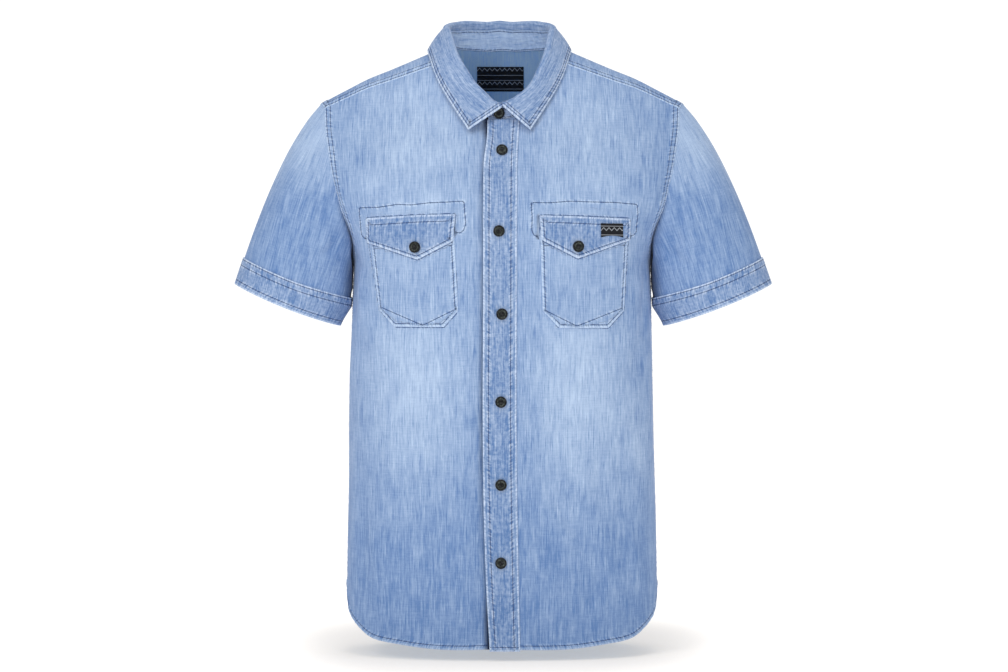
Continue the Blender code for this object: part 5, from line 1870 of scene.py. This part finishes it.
@dataclass(frozen=True)
class Collar:
    """The stand round the neck, the leaf that folds over it, and the button on the stand."""
    smooth_reach: int = 3
    stand_steps: int = 14
    stand_weave: float = 17.0
    lean: float = 0.12
    neck_reach: float = 60.0
    end_reach: float = 0.04
    end_drop: float = 0.25
    solid_cloth: float = 2.0
    leaf_columns: int = 190
    leaf_length: float = 430.0
    fall_rows: int = 30
    fall: float = 60.0
    bulge: float = 1.6
    leaf_start: float = 0.006
    roll_radius: float = 4.8
    roll_steps: int = 10
    row_weave: float = 2.0
    tuck_start: float = 0.88
    tuck_length: float = 0.06
    edge_shift: float = -3.2
    leaf_end_shift: float = -6.0
    leaf_end_reach: float = 0.12
    leaf_end_raise: float = 0.3
    button_x: float = -5.0
    button_rise: float = 6.6

    def smoothed(self, directions: Array) -> Array:
        """Directions along a line, evened out over their neighbours."""
        reach = self.smooth_reach
        padded = np.concatenate([directions[:1]] * reach + [directions] + [directions[-1:]] * reach)
        return unit(sum(padded[start:start + len(directions)] for start in range(2 * reach + 1)))

    def frame(self, neck: Array) -> tuple[Array, Array]:
        """Directions up the stand and out of it at each point of the neckline."""
        run = lengths_along(neck)
        along = unit(stacked(*(np.gradient(neck[:, axis], run) for axis in range(3))))
        upright = np.tile([0.0, 0.0, 1.0], (len(neck), 1))
        up = upright - dot(upright, along) * along
        away = np.cross(along, up)
        away = away * np.where(np.mean(dot(away, neck * [1, 1, 0])) < 0, -1, 1)
        up = unit(unit(up) - self.lean * smoothstep(1 + neck[:, 1:2] / self.neck_reach) * unit(away))
        up, away = self.smoothed(up), self.smoothed(unit(away))
        return up, unit(away - dot(away, up) * up)

    def measure(self, name: str, place: Array, start: float = 0.0) -> Array:
        """A measure of the collar at places round the neck; the table's row 0 is at the start."""
        half = np.clip((1 - np.abs(2 * place - 1) - 2 * start) / (1 - 2 * start), 0, 1)
        return read(COLLAR, "place", name, half)

    def leaf_points(self, neck: Array, up: Array, away: Array, place: Array, stations: Array) -> Array:
        """The leaf's grid: up from the stand, round the roll and down to its edge, at each station.

        Args:
            neck: Points of the neckline.
            up: The direction up the stand at each.
            away: The direction out of the stand at each.
            place: Each point's place round the neck.
            stations: The places that the leaf's columns are at.

        Returns:
            The points, a row for each step round the fold.
        """
        at, up, away = (read_line(grid, place, stations) for grid in (neck, up, away))
        stand, shift, rise, edge_x, edge_over, clear = (
            self.measure(name, stations, self.leaf_start) for name in CollarStation._fields[1:])
        half = 1 - np.abs(2 * stations - 1)
        rise = rise + sum(row.amount * bell(half - row.place, row.width) for row in LEAF_LEVELS)
        seat = at + up * (stand + 2 * SEAM_GAP)[:, None] - away * (SEAM_GAP + self.solid_cloth)
        seat = seat + shift[:, None] * LEFTWARDS
        edge = stacked(np.where(stations < 0.5, 1, -1) * edge_x, edge_over)
        edge = as_yoke(edge) + clear[:, None] * torso_normals(edge, as_yoke) + self.edge_shift * LEFTWARDS
        tucked = smoothstep((stations - self.tuck_start) / self.tuck_length)
        radius = (self.roll_radius + OVERLAP / 2 * tucked)[:, None]
        centre = seat + up * rise[:, None] + away * radius
        rows = [seat]
        for bend in np.pi * even(self.roll_steps):
            rows.append(centre + math.sin(bend) * self.roll_radius * up - math.cos(bend) * radius * away)
        end = rows[-1]
        for part in graded(self.fall, self.fall_rows, near=False)[1:]:
            rows.append(end + (edge - end) * part + self.bulge * math.sin(math.pi * part) * away)
        grid = np.stack(rows)
        by_row = 1 - even(len(rows) - 1)[:, None]
        end_shift = self.leaf_end_shift * smoothstep(1 - stations / self.leaf_end_reach) * by_row
        grid[..., 0] += end_shift
        grid[..., 1] += end_shift * self.leaf_end_raise
        return grid

    def make(self, shop: Workshop, neck: Array, neck_rows: int) -> None:
        """Make the collar and its button.

        Args:
            shop: The finishes and tools.
            neck: The neckline once round.
            neck_rows: How many of its points lie on each front.
        """
        up, away = self.frame(neck)
        run = lengths_along(neck)
        ends = (np.s_[:neck_rows], np.s_[-neck_rows:])
        first, last = (np.interp(0, neck[part, 0], run[part]) for part in ends)
        place = (run - first) / (last - first)
        past_end = np.maximum(-place, place - 1) / self.end_reach
        height = self.measure("stand", place) * (1 - self.end_drop * smoothstep(past_end))
        lean = self.measure("shift", place)[:, None] * LEFTWARDS
        base = neck + SEAM_GAP * (up - away)
        parts = even(self.stand_steps)
        grid = np.stack([base + up * (height * part)[:, None] + lean * part for part in parts])
        sheet = Sheet("collar_stand", grid, np.broadcast_to(away, grid.shape),
                      stacked(parts[:, None] * self.stand_weave, run), COLLAR_WASH)
        sheet.sew(STAND_WELT, Side.BOTTOM, Side.LEFT, Side.RIGHT)
        sheet.sew(STAND_TOP_WELT, Side.TOP)
        shop.finish(sheet, COLLAR_CLOTH, Slot.TRIM, Held.FOLDED, "yoke")

        stations = self.leaf_start + (1 - 2 * self.leaf_start) * graded(self.leaf_length, self.leaf_columns)
        points = self.leaf_points(neck, up, away, place, stations)
        facing = unit(np.cross(np.gradient(points, axis=0), np.gradient(points, axis=1)))
        facing = facing * np.where(np.mean(dot(facing[-2], points[-2] * [1, 1, 0])) < 0, -1, 1)
        rows = np.arange(1, len(points) + 1)[:, None] * self.row_weave
        sheet = Sheet("collar_leaf", points, facing, stacked(rows, stations * self.leaf_length), COLLAR_WASH)
        sheet.sew(LEAF_WELT, Side.TOP)
        sheet.sew(LEAF_WELT, Side.LEFT, Side.RIGHT, part=slice(self.roll_steps + 1, None))
        shop.finish(sheet, COLLAR_CLOTH, Slot.TRIM, Held.FOLDED, "collar_stand")

        front = neck[:neck_rows]
        at = read_line(front, front[:, 0], self.button_x)
        outward = away[np.argmin(np.abs(front[:, 0] - self.button_x))]
        shop.place_button("button_1", at + up[0] * self.button_rise + outward * SEAM_GAP, outward)


@dataclass(frozen=True)
class Shirt:
    """The whole shirt: its sleeves and labels, and the order in which its pieces are made."""
    sleeves: tuple[Sleeve, ...] = (Sleeve("left", 1, spread=3.0), Sleeve("right", -1, spread=0.0))
    labels: tuple[Label, ...] = (
        Label("pocket_tab", start=119.7, end=146.5, top=-216.1, bottom=-233.2,
              lift=FLAP_LIFT + FLAP_RISE + TAB_LIFT, rests_on="flap_left", dip=2.2),
        Label("neck_label", start=27.6, end=-31.8, top=-19.0, bottom=-49.5,
              lift=-(PANEL_CLOTH + LABEL_GAP + LABEL_CLOTH), rests_on="yoke"),
    )

    def make(self, shop: Workshop) -> None:
        """Make every piece over its rigid solid."""
        body = Body(shop)
        for sleeve in self.sleeves:
            sleeve.make(shop, *body.armhole_loop(sleeve.flip))
        Placket().make(shop)
        for pocket in POCKETS.values():
            pocket.make(shop)
        Collar().make(shop, body.neckline(), body.neck_rows)
        for label in self.labels:
            label.make(shop)
        for seat in BUTTONS:
            centre, facing = laid_on(np.array([seat.x, seat.z]), seat.lift)
            shop.place_button(seat.name, centre, facing)


# ================================================================ the studio

class SoftBox(NamedTuple):
    """An area light: where it is, what it aims at, its size and power."""
    name: str
    place: tuple[float, float, float]
    aim: tuple[float, float, float]
    size: float
    power: float


LIGHTS = table(
    SoftBox,
    ("key", (-1.7, -2.6, 1.7), (0, 0, -0.35), 1.2, 32), ("fill", (2.2, -2.4, 0.5), (0, 0, -0.4), 1.8, 8),
    ("top", (0.1, -1.5, 2.7), (0, 0, 0), 1.2, 20), ("back", (0.4, 2.6, 1.6), (0, 0, -0.3), 2.0, 22),
)


@dataclass(frozen=True)
class Studio:
    """A white floor, a white surround, soft lights and the camera; lengths are in metres."""
    floor_z: float = -0.752
    floor_size: float = 16.0
    world_light: float = 0.5
    backdrop: float = 1.1
    distance: float = 5.0
    aim: tuple[float, float, float] = (0.0025, 0.0, -0.358)
    pitch: float = 2.0
    lens: float = 142.857

    def build(self) -> None:
        """Set the studio up."""
        bpy.ops.object.select_all(action="DESELECT")
        bpy.ops.mesh.primitive_plane_add(size=self.floor_size, location=(0, 0, self.floor_z))
        floor = bpy.context.active_object
        floor.name = "floor"
        floor.data.materials.append(FloorWhite().material())
        self.light_world()
        for box in LIGHTS:
            data = bpy.data.lights.new(box.name, "AREA")
            data.shape, data.size, data.energy = "SQUARE", box.size, box.power
            light = self.put(data, box.place)
            light.rotation_euler = (Vector(box.aim) - Vector(box.place)).to_track_quat("-Z", "Y").to_euler()
        data = bpy.data.cameras.new("camera")
        data.lens = self.lens
        pitch = math.radians(self.pitch)
        back = self.distance * Vector((0, -math.cos(pitch), math.sin(pitch)))
        camera = self.put(data, Vector(self.aim) + back)
        camera.rotation_euler = (math.pi / 2 - pitch, 0, 0)
        bpy.context.scene.camera = camera
        bpy.context.scene.view_settings.view_transform = "Standard"

    def put(self, data: Any, place: Any) -> bpy.types.Object:
        """Put a light or the camera at a place."""
        piece = add_object(data.name, data)
        piece.location = place
        return piece

    def light_world(self) -> None:
        """Light the scene softly from all round, before a plain white backdrop."""
        world = bpy.data.worlds.new("studio")
        world.use_nodes = True
        nodes, links = world.node_tree.nodes, world.node_tree.links
        path, mix = nodes.new("ShaderNodeLightPath"), nodes.new("ShaderNodeMixShader")
        links.new(path.outputs["Is Camera Ray"], mix.inputs["Fac"])
        seen = nodes.new("ShaderNodeBackground")
        backgrounds = ((nodes["Background"], self.world_light), (seen, self.backdrop))
        for index, (background, strength) in enumerate(backgrounds, 1):
            background.inputs["Color"].default_value = (1, 1, 1, 1)
            background.inputs["Strength"].default_value = strength
            links.new(background.outputs["Background"], mix.inputs[index])
        links.new(mix.outputs["Shader"], nodes["World Output"].inputs["Surface"])
        bpy.context.scene.world = world


def corners(bounds: Any) -> list[list[float]]:
    """A box as plain lists of numbers."""
    return [[float(value) for value in corner] for corner in bounds]


def main() -> None:
    """Dress the frame."""
    logging.basicConfig(level=logging.INFO, format="%(message)s")
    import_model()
    shop = Workshop()
    Shirt().make(shop)
    shop.clear()
    Studio().build()
    LOG.info("%d pieces", shop.count)


if __name__ == "__main__":
    main()
